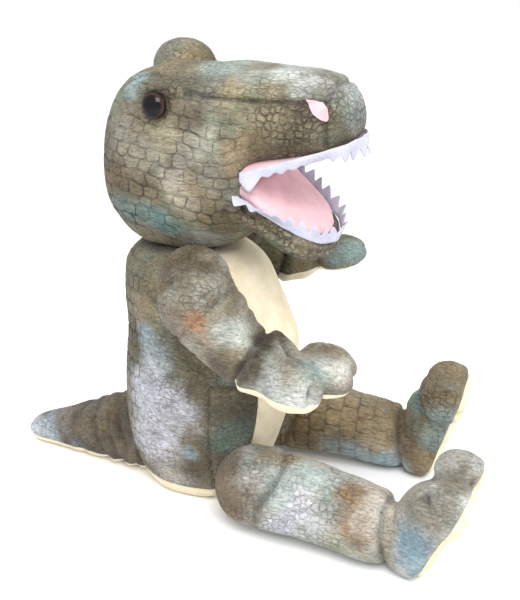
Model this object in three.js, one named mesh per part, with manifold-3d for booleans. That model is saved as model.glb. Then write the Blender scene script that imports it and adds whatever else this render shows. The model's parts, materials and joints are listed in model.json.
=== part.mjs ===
import * as THREE from 'three';
import { mergeVertices } from 'three/addons/utils/BufferGeometryUtils.js';
import Module from 'manifold-3d';

const wasm = await Module();
wasm.setup();

// ---- Driving dimensions, in millimetres and degrees ----
// The toy sits on the floor facing -Y, with its right side towards -X.

const cloth = 2.4; // pile cloth with its backing
const felt = 1.2; // the felt that the teeth are cut from
const clearance = 0.4; // between pieces sewn side by side
const swing = 1.4; // between pieces that move past each other
const weld = 0.04; // edges shorter than this are closed up by a cut or a join

const torso = {
  height: 180, width: 100, depth: 116, seatWidth: 64, seatDepth: 60, shoulderWidth: 82,
  bellyWidth: 66, seatRise: 12, neckRadius: 31, neckRise: 9, gussetRise: 96, gussetBack: -27,
};
const head = {
  width: 98, back: 55, front: -58, height: 116, snoutWidth: 80, noseWidth: 58, snoutTip: -110, snoutRise: 91,
  turn: -5, base: 173, forward: -2, muzzle: 14, seamHeight: 104,
};
const brow = { length: 54, width: 28, height: 46, spread: 64, back: 9, rise: 102 };
const eye = {
  radius: 7.2, dome: 4.6, spread: 88, back: 0, rise: 98.5, shank: 2.4, shankLength: 12, washer: 7, washerThickness: 1.6,
};
const nostril = { length: 17, width: 10, thickness: 1.4, back: -97, rise: 103 };
const mouth = { lipBack: -56, lipRise: 64, lipSlope: 17, jawBack: -53, jawRise: 47, jawSlope: 33 };
const jaw = { hingeY: -50, hingeZ: 39, root: 17, width: 76, tipWidth: 46, length: 42, depth: 28, tipDepth: 15 };
const teeth = { height: 10, notch: 7, pitch: 9.5 };
const arm = { length: 52, radius: 18, wrist: 15, shoulderZ: 164, gap: 1.6, cap: 20 };
const armPose = { right: { droop: 43, splay: 4, shoulderY: -22 }, left: { droop: 30, splay: 24, shoulderY: 6 } };
const hand = { length: 70, width: 46, thickness: 32, bend: 32, palm: 8 };
const leg = { length: 92, thigh: 25, ankle: 19.5, hipX: 47, hipZ: 30 };
const legPose = { right: { splay: 6, hipY: -52 }, left: { splay: 2, hipY: -41 } };
const foot = { height: 83, width: 46, depth: 44, lean: 19, sole: 8, heel: 107 };
const tail = { length: 106, root: 28, tip: 7, rootY: 33, rootZ: 29, underside: 7 };

// ---- Derived sizes ----

const armX = torso.shoulderWidth / 2 + arm.gap + arm.radius;
const sides = [['right', -1], ['left', 1]];

// ---- Finishes ----

function finish(color, roughness = 0.9, metalness = 0) {
  return new THREE.MeshStandardMaterial({ color, roughness, metalness });
}

const finishes = {
  hide: finish('#7a705c'),
  darkHide: finish('#4d4437'),
  blueHide: finish('#8c97a0'),
  belly: finish('#f0e0bd'),
  lining: finish('#efc4c4'),
  teeth: finish('#e8e6f2', 0.85),
  stuffing: finish('#f2f0ea', 1),
  iris: finish('#120c0a', 0.08),
  washer: finish('#d8d8d4', 0.5),
};

// ---- Solids ----

function solid(geometry) {
  geometry.deleteAttribute('normal');
  geometry.deleteAttribute('uv');
  const merged = mergeVertices(geometry, 1e-4);
  return new wasm.Manifold(new wasm.Mesh({
    numProp: 3,
    vertProperties: new Float32Array(merged.attributes.position.array),
    triVerts: new Uint32Array(merged.index.array),
    tolerance: weld,
  }));
}

function geometryOf(body) {
  const { vertProperties, triVerts } = body.getMesh();
  const geometry = new THREE.BufferGeometry();
  geometry.setAttribute('position', new THREE.BufferAttribute(vertProperties, 3));
  geometry.setIndex(new THREE.BufferAttribute(triVerts, 1));
  geometry.computeVertexNormals();
  return geometry;
}

// A block from its lowest to its highest corner, turned about its own point first where asked.
function block([x0, y0, z0], [x1, y1, z1], place = new THREE.Matrix4()) {
  const geometry = new THREE.BoxGeometry(x1 - x0, y1 - y0, z1 - z0);
  geometry.translate((x0 + x1) / 2, (y0 + y1) / 2, (z0 + z1) / 2);
  geometry.applyMatrix4(place);
  return solid(geometry);
}

function turned(axis, degrees, at = new THREE.Vector3()) {
  const turn = new THREE.Matrix4().makeRotationAxis(axis, THREE.MathUtils.degToRad(degrees));
  return new THREE.Matrix4().makeTranslation(at.x, at.y, at.z).multiply(turn);
}

const xAxis = new THREE.Vector3(1, 0, 0);
const yAxis = new THREE.Vector3(0, 1, 0);
const zAxis = new THREE.Vector3(0, 0, 1);

function rounded(value, power) {
  return Math.sign(value) * Math.abs(value) ** (2 / power);
}

// A stuffed shape: a ball drawn out along a run of stations [x, y, z, halfWidth, halfHeight].
// The run points along `way`; each section lies across it, with its width along X.
// `dome` is how much of the run each rounded end takes.
function stuffed({ stations, way, dome = [0.2, 0.2], around = 20, along = 14, power = 2.3 }, inset = 0) {
  const middle = new THREE.CatmullRomCurve3(stations.map(([x, y, z]) => new THREE.Vector3(x, y, z)));
  const halves = new THREE.CatmullRomCurve3(stations.map(([, , , w, h]) => new THREE.Vector3(w, h, 0)));
  const up = new THREE.Vector3().crossVectors(way, xAxis);
  const ball = new THREE.SphereGeometry(1, around, along);
  const position = ball.attributes.position;
  const point = new THREE.Vector3();
  for (let i = 0; i < position.count; i += 1) {
    point.fromBufferAttribute(position, i);
    const t = (1 - point.y) / 2;
    const fromStart = Math.min(t / dome[0], 1);
    const fromEnd = Math.min((1 - t) / dome[1], 1);
    const fullness = Math.sqrt(1 - (1 - fromStart) ** 2) * Math.sqrt(1 - (1 - fromEnd) ** 2);
    const half = halves.getPoint(t);
    const angle = Math.atan2(point.z, point.x);
    const across = fullness * (half.x - inset) * rounded(Math.cos(angle), power);
    const height = fullness * (half.y - inset) * rounded(Math.sin(angle), power);
    const at = middle.getPoint(t).addScaledVector(way, inset * (1 - 2 * t));
    at.addScaledVector(xAxis, across).addScaledVector(up, height);
    position.setXYZ(i, at.x, at.y, at.z);
  }
  return solid(ball);
}

const object = new THREE.Group();

function add(name, body, material, parent = object) {
  const mesh = new THREE.Mesh(geometryOf(body), material);
  mesh.name = name;
  parent.add(mesh);
  return mesh;
}

const floorBlock = block([-400, -400, -100], [400, 400, 0]);

function drum(radius, length, axis, at) {
  const geometry = new THREE.CylinderGeometry(radius, radius, length, 24);
  if (axis === xAxis) geometry.rotateZ(Math.PI / 2);
  if (axis === zAxis) geometry.rotateX(Math.PI / 2);
  geometry.translate(...at);
  return solid(geometry);
}

function half(sign, gap = clearance / 2) {
  return sign < 0 ? block([-400, -400, -200], [-gap, 400, 500]) : block([gap, -400, -200], [400, 400, 500]);
}

function group(at, parent = object) {
  const inner = new THREE.Group();
  inner.position.set(...at);
  parent.add(inner);
  return inner;
}

// ---- Room for the parts that move past the torso and the head ----

function hipRoom(side, sign, extra) {
  const { hipY } = legPose[side];
  const outer = leg.hipX + leg.thigh + 40;
  const inner = leg.hipX - leg.thigh - extra;
  return drum(leg.thigh + extra, outer - inner, xAxis, [sign * (outer + inner) / 2, hipY, leg.hipZ]);
}

function tailRoom(extra) {
  return drum(tail.root + extra, 3 * tail.root, zAxis, [0, tail.rootY, tail.rootZ]);
}

// The head turns on the neck stub, so all of the torso beyond the stub stays under the head's base.
function headRoom(extra) {
  const low = head.base - swing - extra;
  const high = head.base + torso.neckRise - extra;
  const stub = drum(torso.neckRadius - extra, 2 * (high - low), zAxis, [0, 0, low]);
  return drum(200, 80, zAxis, [0, 0, low + 40]).subtract(stub);
}

function neckRoom(extra) {
  const reach = torso.neckRise + swing + extra;
  return drum(torso.neckRadius + swing + extra, 2 * reach, zAxis, [0, -head.forward, 0]);
}

// ---- Torso ----

const torsoForm = {
  way: zAxis,
  dome: [0.08, 0.16],
  around: 20,
  along: 12,
  stations: [
    [0, -8, -16, torso.seatWidth / 2 - 6, torso.seatDepth / 2],
    [0, -6, 0.1 * torso.height, torso.width / 2 - 8, torso.depth / 2 - 13],
    [0, -9, 0.33 * torso.height, torso.width / 2, torso.depth / 2 - 3],
    [0, -13, 0.61 * torso.height, torso.shoulderWidth / 2 + 2, torso.depth / 2],
    [0, -6, 0.84 * torso.height, torso.shoulderWidth / 2, torso.depth / 2 - 9],
    [0, 2, torso.height + 8, torso.shoulderWidth / 2 - 4, torso.depth / 2 - 16],
  ],
};

function torsoSolid(inset) {
  let body = stuffed(torsoForm, inset).subtract(block([-400, -400, -100], [400, 400, inset]));
  for (const [side, sign] of sides) body = body.subtract(hipRoom(side, sign, swing + inset));
  return body.subtract(tailRoom(swing + inset)).subtract(headRoom(inset));
}

function makeTorso() {
  const shell = torsoSolid(0).subtract(torsoSolid(cloth));
  const edge = torso.bellyWidth / 2;
  const belly = block([-edge, -200, torso.seatRise], [edge, -20, 300]);
  const bellyRoom = block(
    [-edge - clearance, -200, torso.seatRise - clearance],
    [edge + clearance, -20 + clearance, 300],
  );
  const seat = block([-200, -200, -5], [200, 200, torso.seatRise - clearance]);
  const seatRoom = block([-200, -200, -5], [200, 200, torso.seatRise]);
  const flanks = shell.subtract(bellyRoom).subtract(seatRoom);
  add('belly_panel', shell.intersect(belly), finishes.belly);
  add('seat_panel', shell.intersect(seat), finishes.belly);
  const gusset = block([-200, -200, leg.hipZ], [200, torso.gussetBack, torso.gussetRise]);
  const gussetRoom = block(
    [-200, -200, leg.hipZ - clearance],
    [200, torso.gussetBack + clearance, torso.gussetRise + clearance],
  );
  for (const [side, sign] of sides) {
    add(`body_side_${side}`, flanks.subtract(gussetRoom).intersect(half(sign)), finishes.hide);
    add(`thigh_gusset_${side}`, flanks.intersect(gusset).intersect(half(sign)), finishes.darkHide);
  }
  add('body_stuffing', torsoSolid(cloth + clearance), finishes.stuffing);
}

// ---- Head, in a frame of its own that stands on the head's base ----

const skullForm = {
  way: yAxis.clone().negate(),
  dome: [0.26, 0.12],
  around: 18,
  along: 10,
  stations: [
    [0, head.back, 54, 0.4 * head.width, 0.42 * head.height],
    [0, head.back - 20, 54, 0.46 * head.width, 0.47 * head.height],
    [0, 16, 57, head.width / 2, head.height / 2],
    [0, -10, 59, head.width / 2, head.height / 2],
    [0, -34, 63, head.width / 2 - 1, head.height / 2 - 4],
    [0, head.front, 67, head.width / 2 - 5, head.height / 2 - 10],
  ],
};

const snoutForm = {
  way: yAxis.clone().negate(),
  dome: [0.1, 0.2],
  around: 16,
  along: 8,
  stations: [
    [0, -14, head.snoutRise, head.snoutWidth / 2, 26],
    [0, -44, head.snoutRise - 1, head.snoutWidth / 2, 28],
    [0, -78, head.snoutRise + 1, 0.43 * head.snoutWidth, 26],
    [0, head.snoutTip, head.snoutRise + 3, head.noseWidth / 2, 23],
  ],
};

const lip = turned(xAxis, -mouth.lipSlope, new THREE.Vector3(0, mouth.lipBack, mouth.lipRise));
const jawTop = turned(xAxis, mouth.jawSlope, new THREE.Vector3(0, mouth.jawBack, mouth.jawRise));

// What the open mouth takes out of the head: below the lip, and around the jaw's rounded root.
function mouthRoom(extra) {
  const under = block([-200, -200, -200], [200, -mouth.jawBack + mouth.lipBack, extra], lip);
  const root = drum(jaw.root + swing + extra, 200, xAxis, [0, jaw.hingeY, jaw.hingeZ]);
  const gap = block([-200, -200, -60], [200, jaw.hingeY + extra, mouth.lipRise + extra]);
  return under.add(root).add(gap);
}

function headSolid(inset) {
  const whole = stuffed(skullForm, inset).add(stuffed(snoutForm, inset));
  const base = block([-200, -200, -200], [200, 200, Math.max(inset, 0)]);
  const depth = Math.max(inset, 0);
  return whole.subtract(base).subtract(neckRoom(depth)).subtract(mouthRoom(depth));
}

function eyePlace(sign) {
  return [sign * eye.spread / 2, eye.back, eye.rise];
}

function eyeRoom(sign, extra) {
  const [x, y, z] = eyePlace(sign);
  const well = drum(eye.radius + extra, 20, xAxis, [x + sign * (10 - extra), y, z]);
  return well.add(drum(eye.shank + extra, 2 * (eye.shankLength + extra), xAxis, [x, y, z]));
}

function washerPlace(sign) {
  const [x, y, z] = eyePlace(sign);
  return [x - sign * (eye.shankLength - eye.washerThickness), y, z];
}

function washerRoom(sign) {
  return drum(eye.washer + clearance, eye.washerThickness + 2 * clearance, xAxis, washerPlace(sign));
}

function makeEye(side, sign, parent) {
  const profile = [new THREE.Vector2(0, -eye.shankLength), new THREE.Vector2(eye.shank, -eye.shankLength)];
  profile.push(new THREE.Vector2(eye.shank, 0), new THREE.Vector2(eye.radius, 0));
  const steps = 4;
  for (let i = 1; i <= steps; i += 1) {
    const angle = (Math.PI / 2) * (i / steps);
    const radius = i === steps ? 0 : eye.radius * Math.cos(angle);
    profile.push(new THREE.Vector2(radius, eye.dome * Math.sin(angle)));
  }
  const geometry = new THREE.LatheGeometry(profile, 16);
  geometry.rotateZ(-sign * Math.PI / 2);
  geometry.translate(...eyePlace(sign));
  add(`eye_${side}`, solid(geometry), finishes.iris, parent);
  const washer = drum(eye.washer, eye.washerThickness, xAxis, washerPlace(sign));
  const bore = drum(eye.shank + clearance, 10, xAxis, washerPlace(sign));
  add(`eye_washer_${side}`, washer.subtract(bore), finishes.washer, parent);
}

// A felt strip that follows the edge of the mouth, cut into points along one side.
function toothStrip(back, front, backHalf, frontHalf, place) {
  const outline = (offset) => [
    new THREE.Vector2(backHalf - offset, 0),
    new THREE.Vector2(0.93 * backHalf - offset, -0.45 * front),
    new THREE.Vector2(frontHalf - offset, -0.88 * front),
    new THREE.Vector2(0, -front + offset),
  ];
  const mirror = (points) => points.map((p) => new THREE.Vector2(-p.x, p.y)).reverse().slice(1);
  const outer = new THREE.SplineCurve([...outline(0), ...mirror(outline(0))]).getPoints(18);
  const inner = new THREE.SplineCurve([...outline(felt), ...mirror(outline(felt))]).getPoints(18);
  const ribbon = new THREE.Shape([...outer, ...inner.reverse()]);
  const strip = new THREE.ExtrudeGeometry(ribbon, { depth: teeth.height, bevelEnabled: false });
  strip.translate(0, back, clearance);
  let body = solid(strip);
  const notch = new THREE.Shape([
    new THREE.Vector2(-teeth.pitch / 2, teeth.height + 1),
    new THREE.Vector2(0, teeth.height - teeth.notch),
    new THREE.Vector2(teeth.pitch / 2, teeth.height + 1),
  ]);
  for (let along = teeth.pitch / 2; along < front - teeth.pitch / 2; along += teeth.pitch) {
    const cut = new THREE.ExtrudeGeometry(notch, { depth: 200, bevelEnabled: false });
    cut.translate(0, 0, -100);
    cut.rotateX(Math.PI / 2);
    cut.rotateZ(Math.PI / 2);
    cut.translate(0, back - along, 0);
    body = body.subtract(solid(cut));
  }
  for (const across of [-1, 0, 1]) {
    const cut = new THREE.ExtrudeGeometry(notch, { depth: 0.3 * front, bevelEnabled: false });
    cut.rotateX(Math.PI / 2);
    cut.translate(across * teeth.pitch, back - 0.82 * front, 0);
    body = body.subtract(solid(cut));
  }
  return body.transform(place.toArray());
}

function makeHead() {
  const frame = group([0, head.forward, head.base]);
  frame.rotation.z = THREE.MathUtils.degToRad(head.turn);
  let shell = headSolid(0).subtract(headSolid(cloth));
  let core = headSolid(cloth + clearance);
  for (const [, sign] of sides) {
    shell = shell.subtract(eyeRoom(sign, clearance));
    shell = shell.subtract(washerRoom(sign));
    core = core.subtract(eyeRoom(sign, clearance)).subtract(washerRoom(sign));
  }
  const noseY = head.snoutTip + head.muzzle;
  const nose = block([-200, -200, -50], [200, noseY, 300]);
  const noseRoom = block([-200, -200, -50], [200, noseY + clearance, 300]);
  const top = block([-200, -200, head.seamHeight], [200, 200, 300]);
  const topRoom = block([-200, -200, head.seamHeight - clearance], [200, 200, 300]);
  const roofCut = block([-200, -200, -5], [200, 5, cloth], lip);
  const roofRoom = block([-200, -200, -5], [200, 5 + clearance, cloth + clearance], lip);
  const mouthSides = stuffed(snoutForm, cloth);
  const roof = shell.intersect(roofCut).intersect(mouthSides);
  const skin = shell.subtract(roofRoom.intersect(stuffed(snoutForm, cloth - clearance)));
  add('muzzle_panel', skin.intersect(nose), finishes.hide, frame);
  add('crown_panel', skin.subtract(noseRoom).intersect(top), finishes.hide, frame);
  const cheeks = skin.subtract(noseRoom).subtract(topRoom);
  for (const [side, sign] of sides) add(`cheek_${side}`, cheeks.intersect(half(sign)), finishes.hide, frame);
  add('upper_mouth_lining', roof, finishes.lining, frame);
  add('head_stuffing', core, finishes.stuffing, frame);
  const snoutNear = stuffed(snoutForm, -clearance).add(stuffed(skullForm, -clearance));
  for (const [side, sign] of sides) {
    const ball = new THREE.SphereGeometry(1, 12, 8);
    ball.scale(brow.width / 2, brow.length / 2, brow.height / 2);
    ball.rotateX(THREE.MathUtils.degToRad(12));
    ball.translate(sign * brow.spread / 2, brow.back, brow.rise);
    const bump = solid(ball).subtract(snoutNear).subtract(eyeRoom(sign, clearance)).subtract(washerRoom(sign));
    add(`brow_${side}`, bump, finishes.darkHide, frame);
    makeEye(side, sign, frame);
    const spot = new THREE.CylinderGeometry(1, 1, 80, 14);
    spot.scale(nostril.width / 2, 1, nostril.length / 2);
    spot.rotateZ(Math.PI / 2);
    spot.rotateX(THREE.MathUtils.degToRad(-50));
    spot.translate(sign * 40, nostril.back, nostril.rise);
    const patch = stuffed(snoutForm, -nostril.thickness - clearance).subtract(snoutNear);
    add(`nostril_${side}`, patch.intersect(solid(spot)), finishes.lining, frame);
  }
  const down = lip.clone().multiply(new THREE.Matrix4().makeRotationY(Math.PI));
  const strip = toothStrip(-3, 45, head.snoutWidth / 2 - 5, head.noseWidth / 2 - 6, down);
  add('upper_teeth', strip, finishes.teeth, frame);
  return frame;
}

// ---- Lower jaw ----

const jawForm = {
  way: yAxis.clone().negate(),
  dome: [0.16, 0.16],
  around: 14,
  along: 7,
  stations: [
    [0, jaw.hingeY + jaw.root - 4, jaw.hingeZ, jaw.width / 2, jaw.root - 3],
    [0, jaw.hingeY - 8, jaw.hingeZ - 4, jaw.width / 2, jaw.depth / 2],
    [0, jaw.hingeY - 0.6 * jaw.length, jaw.hingeZ - 17, 0.44 * jaw.width, 0.44 * jaw.depth],
    [0, jaw.hingeY - jaw.length, jaw.hingeZ - 26, jaw.tipWidth / 2, jaw.tipDepth / 2],
  ],
};

function jawSolid(inset) {
  const over = block([-200, -200, -inset], [200, 200, 200], jawTop);
  const reach = block([-200, -200, -100], [200, jaw.hingeY, 100]);
  const root = drum(jaw.root - inset, 200, xAxis, [0, jaw.hingeY, jaw.hingeZ]);
  return stuffed(jawForm, inset).subtract(over).intersect(reach.add(root));
}

function makeJaw(frame) {
  const outer = jawSolid(0);
  const bed = block([-200, -200, -cloth], [200, 200, 5], jawTop);
  const bedRoom = block([-200, -200, -cloth - clearance], [200, 200, 5], jawTop);
  const inside = stuffed(jawForm, cloth);
  const opened = stuffed(jawForm, cloth - clearance);
  const lining = outer.intersect(inside).intersect(bed);
  const cover = outer.subtract(jawSolid(cloth)).subtract(bedRoom.intersect(opened));
  add('lower_jaw_cover', cover, finishes.hide, frame);
  add('lower_mouth_lining', lining, finishes.lining, frame);
  add('jaw_stuffing', jawSolid(cloth + clearance).subtract(bedRoom), finishes.stuffing, frame);
  const strip = toothStrip(-3, jaw.length - 3, jaw.width / 2 - 5, jaw.tipWidth / 2 - 4, jawTop);
  add('lower_teeth', strip, finishes.teeth, frame);
}

// ---- Arms and hands, each in a frame at its shoulder ----

const armForm = {
  way: yAxis.clone().negate(),
  dome: [0.28, 0.1],
  around: 12,
  along: 7,
  stations: [
    [0, arm.radius - 2, 0, arm.radius, arm.radius + 3],
    [0, -0.2 * arm.length, 0, arm.radius, arm.radius + 3],
    [0, -0.7 * arm.length, 0, arm.wrist + 1, arm.wrist + 2],
    [0, -arm.length - 6, 1, arm.wrist, arm.wrist],
  ],
};

const handForm = {
  way: yAxis.clone().negate(),
  dome: [0.3, 0.3],
  around: 12,
  along: 7,
  stations: [
    [0, 8, 0, 0.38 * hand.width, 0.46 * hand.thickness],
    [0, -0.3 * hand.length, 0, 0.46 * hand.width, hand.thickness / 2],
    [0, -0.6 * hand.length, -1, hand.width / 2, hand.thickness / 2],
    [0, 8 - hand.length, -2, 0.42 * hand.width, 0.4 * hand.thickness],
  ],
};

function makeArm(side, sign) {
  const pose = armPose[side];
  const frame = group([sign * armX, pose.shoulderY, arm.shoulderZ]);
  frame.rotation.set(THREE.MathUtils.degToRad(pose.droop), 0, sign * THREE.MathUtils.degToRad(pose.splay), 'ZXY');
  const wrist = turned(xAxis, -hand.bend, new THREE.Vector3(0, -arm.length, 0));
  const handAt = (inset) => stuffed(handForm, inset).transform(wrist.toArray());
  const handRoom = handAt(-clearance);
  const shell = stuffed(armForm).subtract(stuffed(armForm, cloth)).subtract(handRoom);
  const capRoom = block([-200, -arm.cap - clearance, -200], [200, 200, 200]);
  add(`shoulder_cap_${side}`, shell.intersect(block([-200, -arm.cap, -200], [200, 200, 200])), finishes.darkHide, frame);
  add(`arm_cover_${side}`, shell.subtract(capRoom), finishes.hide, frame);
  const core = stuffed(armForm, cloth + clearance).subtract(handRoom);
  add(`arm_stuffing_${side}`, core, finishes.stuffing, frame);
  const below = block([-200, -200, -200], [200, 200, hand.palm - hand.thickness / 2], wrist);
  const belowRoom = block([-200, -200, -200], [200, 200, hand.palm + clearance - hand.thickness / 2], wrist);
  add(`hand_back_${side}`, handAt(0).subtract(belowRoom), finishes.blueHide, frame);
  add(`palm_${side}`, handAt(0).intersect(below), finishes.belly, frame);
}

// ---- Legs and feet, each in a frame at its hip ----

const legForm = {
  way: yAxis.clone().negate(),
  dome: [0.24, 0.12],
  around: 14,
  along: 8,
  stations: [
    [0, leg.thigh - 1, 0, leg.thigh - 1, leg.thigh - 1],
    [0, -0.15 * leg.length, 0, leg.thigh - 1, leg.thigh],
    [0, -0.55 * leg.length, -1, 0.5 * (leg.thigh + leg.ankle) + 1, leg.thigh - 1],
    [0, -leg.length - 4, leg.ankle - leg.hipZ + 1, leg.ankle, leg.ankle],
  ],
};

const footRun = foot.height * Math.tan(THREE.MathUtils.degToRad(foot.lean));
const footForm = {
  way: zAxis,
  dome: [0.2, 0.24],
  around: 12,
  along: 8,
  stations: [
    [0, -foot.heel, -leg.hipZ - 3, 0.4 * foot.width, 0.48 * foot.depth],
    [0, -foot.heel - 0.2 * footRun, -leg.hipZ + 0.3 * foot.height, 0.46 * foot.width, foot.depth / 2],
    [0, -foot.heel - 0.6 * footRun, -leg.hipZ + 0.66 * foot.height, foot.width / 2, 0.45 * foot.depth],
    [0, -foot.heel - footRun, -leg.hipZ + foot.height, 0.44 * foot.width, 0.32 * foot.depth],
  ],
};

function makeLeg(side, sign) {
  const pose = legPose[side];
  const frame = group([sign * leg.hipX, pose.hipY, leg.hipZ]);
  frame.rotation.z = sign * THREE.MathUtils.degToRad(pose.splay);
  const floor = (inset) => block([-400, -400, -200], [400, 400, inset - leg.hipZ]);
  const legAt = (inset) => stuffed(legForm, inset).subtract(floor(inset));
  const footAt = (inset) => stuffed(footForm, inset).subtract(floor(Math.max(inset, 0)));
  const footRoom = footAt(-clearance);
  const opening = stuffed(legForm, cloth).intersect(block([-200, -400, -200], [200, -leg.length + 6, 200]));
  const cover = legAt(0).subtract(legAt(cloth)).subtract(footRoom).subtract(opening);
  add(`leg_cover_${side}`, cover, finishes.hide, frame);
  add(`leg_stuffing_${side}`, legAt(cloth + clearance).subtract(footRoom), finishes.stuffing, frame);
  const lean = turned(xAxis, foot.lean, new THREE.Vector3(0, -foot.heel - foot.depth / 2, -leg.hipZ));
  const front = (gap) => block([-200, -200, -200], [200, foot.sole + gap, 400], lean);
  const shell = footAt(0).subtract(footAt(cloth));
  add(`foot_upper_${side}`, shell.subtract(front(clearance)), finishes.blueHide, frame);
  add(`sole_${side}`, footAt(0).intersect(front(0)), finishes.belly, frame);
  add(`foot_stuffing_${side}`, footAt(cloth + clearance).subtract(front(clearance)), finishes.stuffing, frame);
}

// ---- Tail ----

const tailForm = {
  way: yAxis,
  dome: [0.22, 0.08],
  around: 12,
  along: 8,
  stations: [
    [0, tail.rootY - tail.root + 2, tail.rootZ, tail.root - 1, tail.rootZ - 1],
    [0, tail.rootY + 0.1 * tail.length, 0.86 * tail.rootZ, 0.92 * tail.root, 0.9 * tail.rootZ],
    [0, tail.rootY + 0.5 * tail.length, 0.56 * tail.rootZ, 0.62 * tail.root, 0.56 * tail.rootZ],
    [0, tail.rootY + tail.length, tail.tip, tail.tip, tail.tip],
  ],
};

function makeTail() {
  const at = (inset) => stuffed(tailForm, inset).subtract(block([-400, -400, -100], [400, 400, inset]));
  const under = (gap) => block([-200, -200, -50], [200, 400, tail.underside + gap]);
  const shell = at(0).subtract(at(cloth));
  add('tail_cover', shell.subtract(under(clearance)), finishes.hide);
  add('tail_underside', shell.intersect(under(0)), finishes.belly);
  add('tail_stuffing', at(cloth + clearance), finishes.stuffing);
}

makeTorso();
makeJaw(makeHead());
for (const [side, sign] of sides) {
  makeArm(side, sign);
  makeLeg(side, sign);
}
makeTail();

export default object;
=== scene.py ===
import json
import math

import bmesh
import bpy
import numpy as np
from mathutils import Matrix, Vector
from mathutils.bvhtree import BVHTree


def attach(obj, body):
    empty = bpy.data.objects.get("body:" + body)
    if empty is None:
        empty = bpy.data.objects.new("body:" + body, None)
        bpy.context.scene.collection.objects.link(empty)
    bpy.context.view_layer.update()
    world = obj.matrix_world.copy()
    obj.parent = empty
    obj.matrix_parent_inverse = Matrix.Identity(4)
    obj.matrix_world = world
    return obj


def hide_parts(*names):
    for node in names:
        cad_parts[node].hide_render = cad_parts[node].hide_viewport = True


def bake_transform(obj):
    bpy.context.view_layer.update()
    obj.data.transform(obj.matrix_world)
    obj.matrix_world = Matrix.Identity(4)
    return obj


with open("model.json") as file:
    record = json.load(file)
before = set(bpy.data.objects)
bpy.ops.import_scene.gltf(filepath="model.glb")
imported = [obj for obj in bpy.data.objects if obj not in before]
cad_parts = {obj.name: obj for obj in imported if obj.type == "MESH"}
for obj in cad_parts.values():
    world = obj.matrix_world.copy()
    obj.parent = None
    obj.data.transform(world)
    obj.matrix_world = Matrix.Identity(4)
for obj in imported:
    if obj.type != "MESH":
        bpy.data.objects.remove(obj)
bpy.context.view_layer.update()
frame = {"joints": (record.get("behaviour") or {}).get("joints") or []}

# Shapes are worked out in millimetres and brought to metres when a piece is finished.
metre = 0.001
joints = {joint["name"]: joint for joint in frame["joints"]}
sides = {"right": -1, "left": 1}


def jointPlace(name):
    return Vector(joints[name]["pos_m"]) / metre


# angles in degrees, places and distance in metres
cameraView = {"azimuth": -72, "elevation": 24, "distance": 0.650, "target": (0.050, -0.030, 0.116), "lens": 54.7}


def addCamera():
    azimuth = math.radians(cameraView["azimuth"])
    elevation = math.radians(cameraView["elevation"])
    back = Vector((math.sin(azimuth) * math.cos(elevation), -math.cos(azimuth) * math.cos(elevation),
                   math.sin(elevation)))
    data = bpy.data.cameras.new("camera")
    data.lens = cameraView["lens"]
    camera = bpy.data.objects.new("camera", data)
    camera.location = Vector(cameraView["target"]) + back * cameraView["distance"]
    camera.rotation_euler = (-back).to_track_quat("-Z", "Y").to_euler()
    bpy.context.scene.collection.objects.link(camera)
    bpy.context.scene.camera = camera


addCamera()
print("camera placed")


def rotation(degrees, axis):
    return Matrix.Rotation(math.radians(degrees), 4, axis)


def smoothStep(low, high, value):
    t = np.clip((value - low) / (high - low), 0, 1)
    return t * t * (3 - 2 * t)


def scatter(cell, seed):
    mixed = (cell[..., 0] * 73856093) ^ (cell[..., 1] * 19349663) ^ (cell[..., 2] * 83492791) ^ (seed * 40503)
    mixed = (mixed ^ (mixed >> 13)) * 1274126177
    return ((mixed ^ (mixed >> 16)) & 0xFFFFFF) / 0xFFFFFF


def softNoise(points, size, seed=1):
    # values from -1 to 1 that change smoothly over a size in millimetres, at many points at once
    scaled = points / size
    base = np.floor(scaled).astype(np.int64)
    part = scaled - base
    part = part * part * (3 - 2 * part)
    total = np.zeros(len(points))
    for corner in np.ndindex(2, 2, 2):
        weight = np.prod(np.where(corner, part, 1 - part), axis=1)
        total += weight * scatter(base + np.array(corner), seed)
    return 2 * total - 1


def layeredNoise(points, size, seed=1, layers=3):
    return sum(softNoise(points, size / 2 ** k, seed + k) / 2 ** k for k in range(layers)) / 1.6


def spline(points, t):
    points = np.asarray(points, float)
    place = np.clip(t, 0, 1) * (len(points) - 1)
    first = np.clip(np.floor(place).astype(int), 0, len(points) - 2)
    f = (place - first)[:, None]
    padded = np.vstack([2 * points[0] - points[1], points, 2 * points[-1] - points[-2]])
    a, b, c, d = (padded[first + k] for k in range(4))
    return 0.5 * (2 * b + (c - a) * f + (2 * a - 5 * b + 4 * c - d) * f ** 2 + (3 * b - a - 3 * c + d) * f ** 3)


def stuffed(bm, stations, way, dome, power=2.3):
    # a ball drawn out along stations of x, y, z, half width and half height
    verts = bmesh.ops.create_uvsphere(bm, u_segments=40, v_segments=32, radius=1)["verts"]
    ball = np.array([v.co for v in verts])
    t = (1 - ball[:, 2]) / 2
    fullness = np.sqrt(1 - (1 - np.minimum(t / dome[0], 1)) ** 2)
    fullness *= np.sqrt(1 - (1 - np.minimum((1 - t) / dome[1], 1)) ** 2)
    middle = spline([s[:3] for s in stations], t)
    halves = spline([s[3:] for s in stations], t)
    angle = np.arctan2(ball[:, 1], ball[:, 0])
    rounded = lambda value: np.sign(value) * np.abs(value) ** (2 / power)
    up = Vector(way).cross(Vector((1, 0, 0)))
    spots = middle + np.outer(fullness * halves[:, 0] * rounded(np.cos(angle)), (1, 0, 0))
    spots += np.outer(fullness * halves[:, 1] * rounded(np.sin(angle)), up)
    for vert, spot in zip(verts, spots):
        vert.co = spot
    return verts


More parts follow.
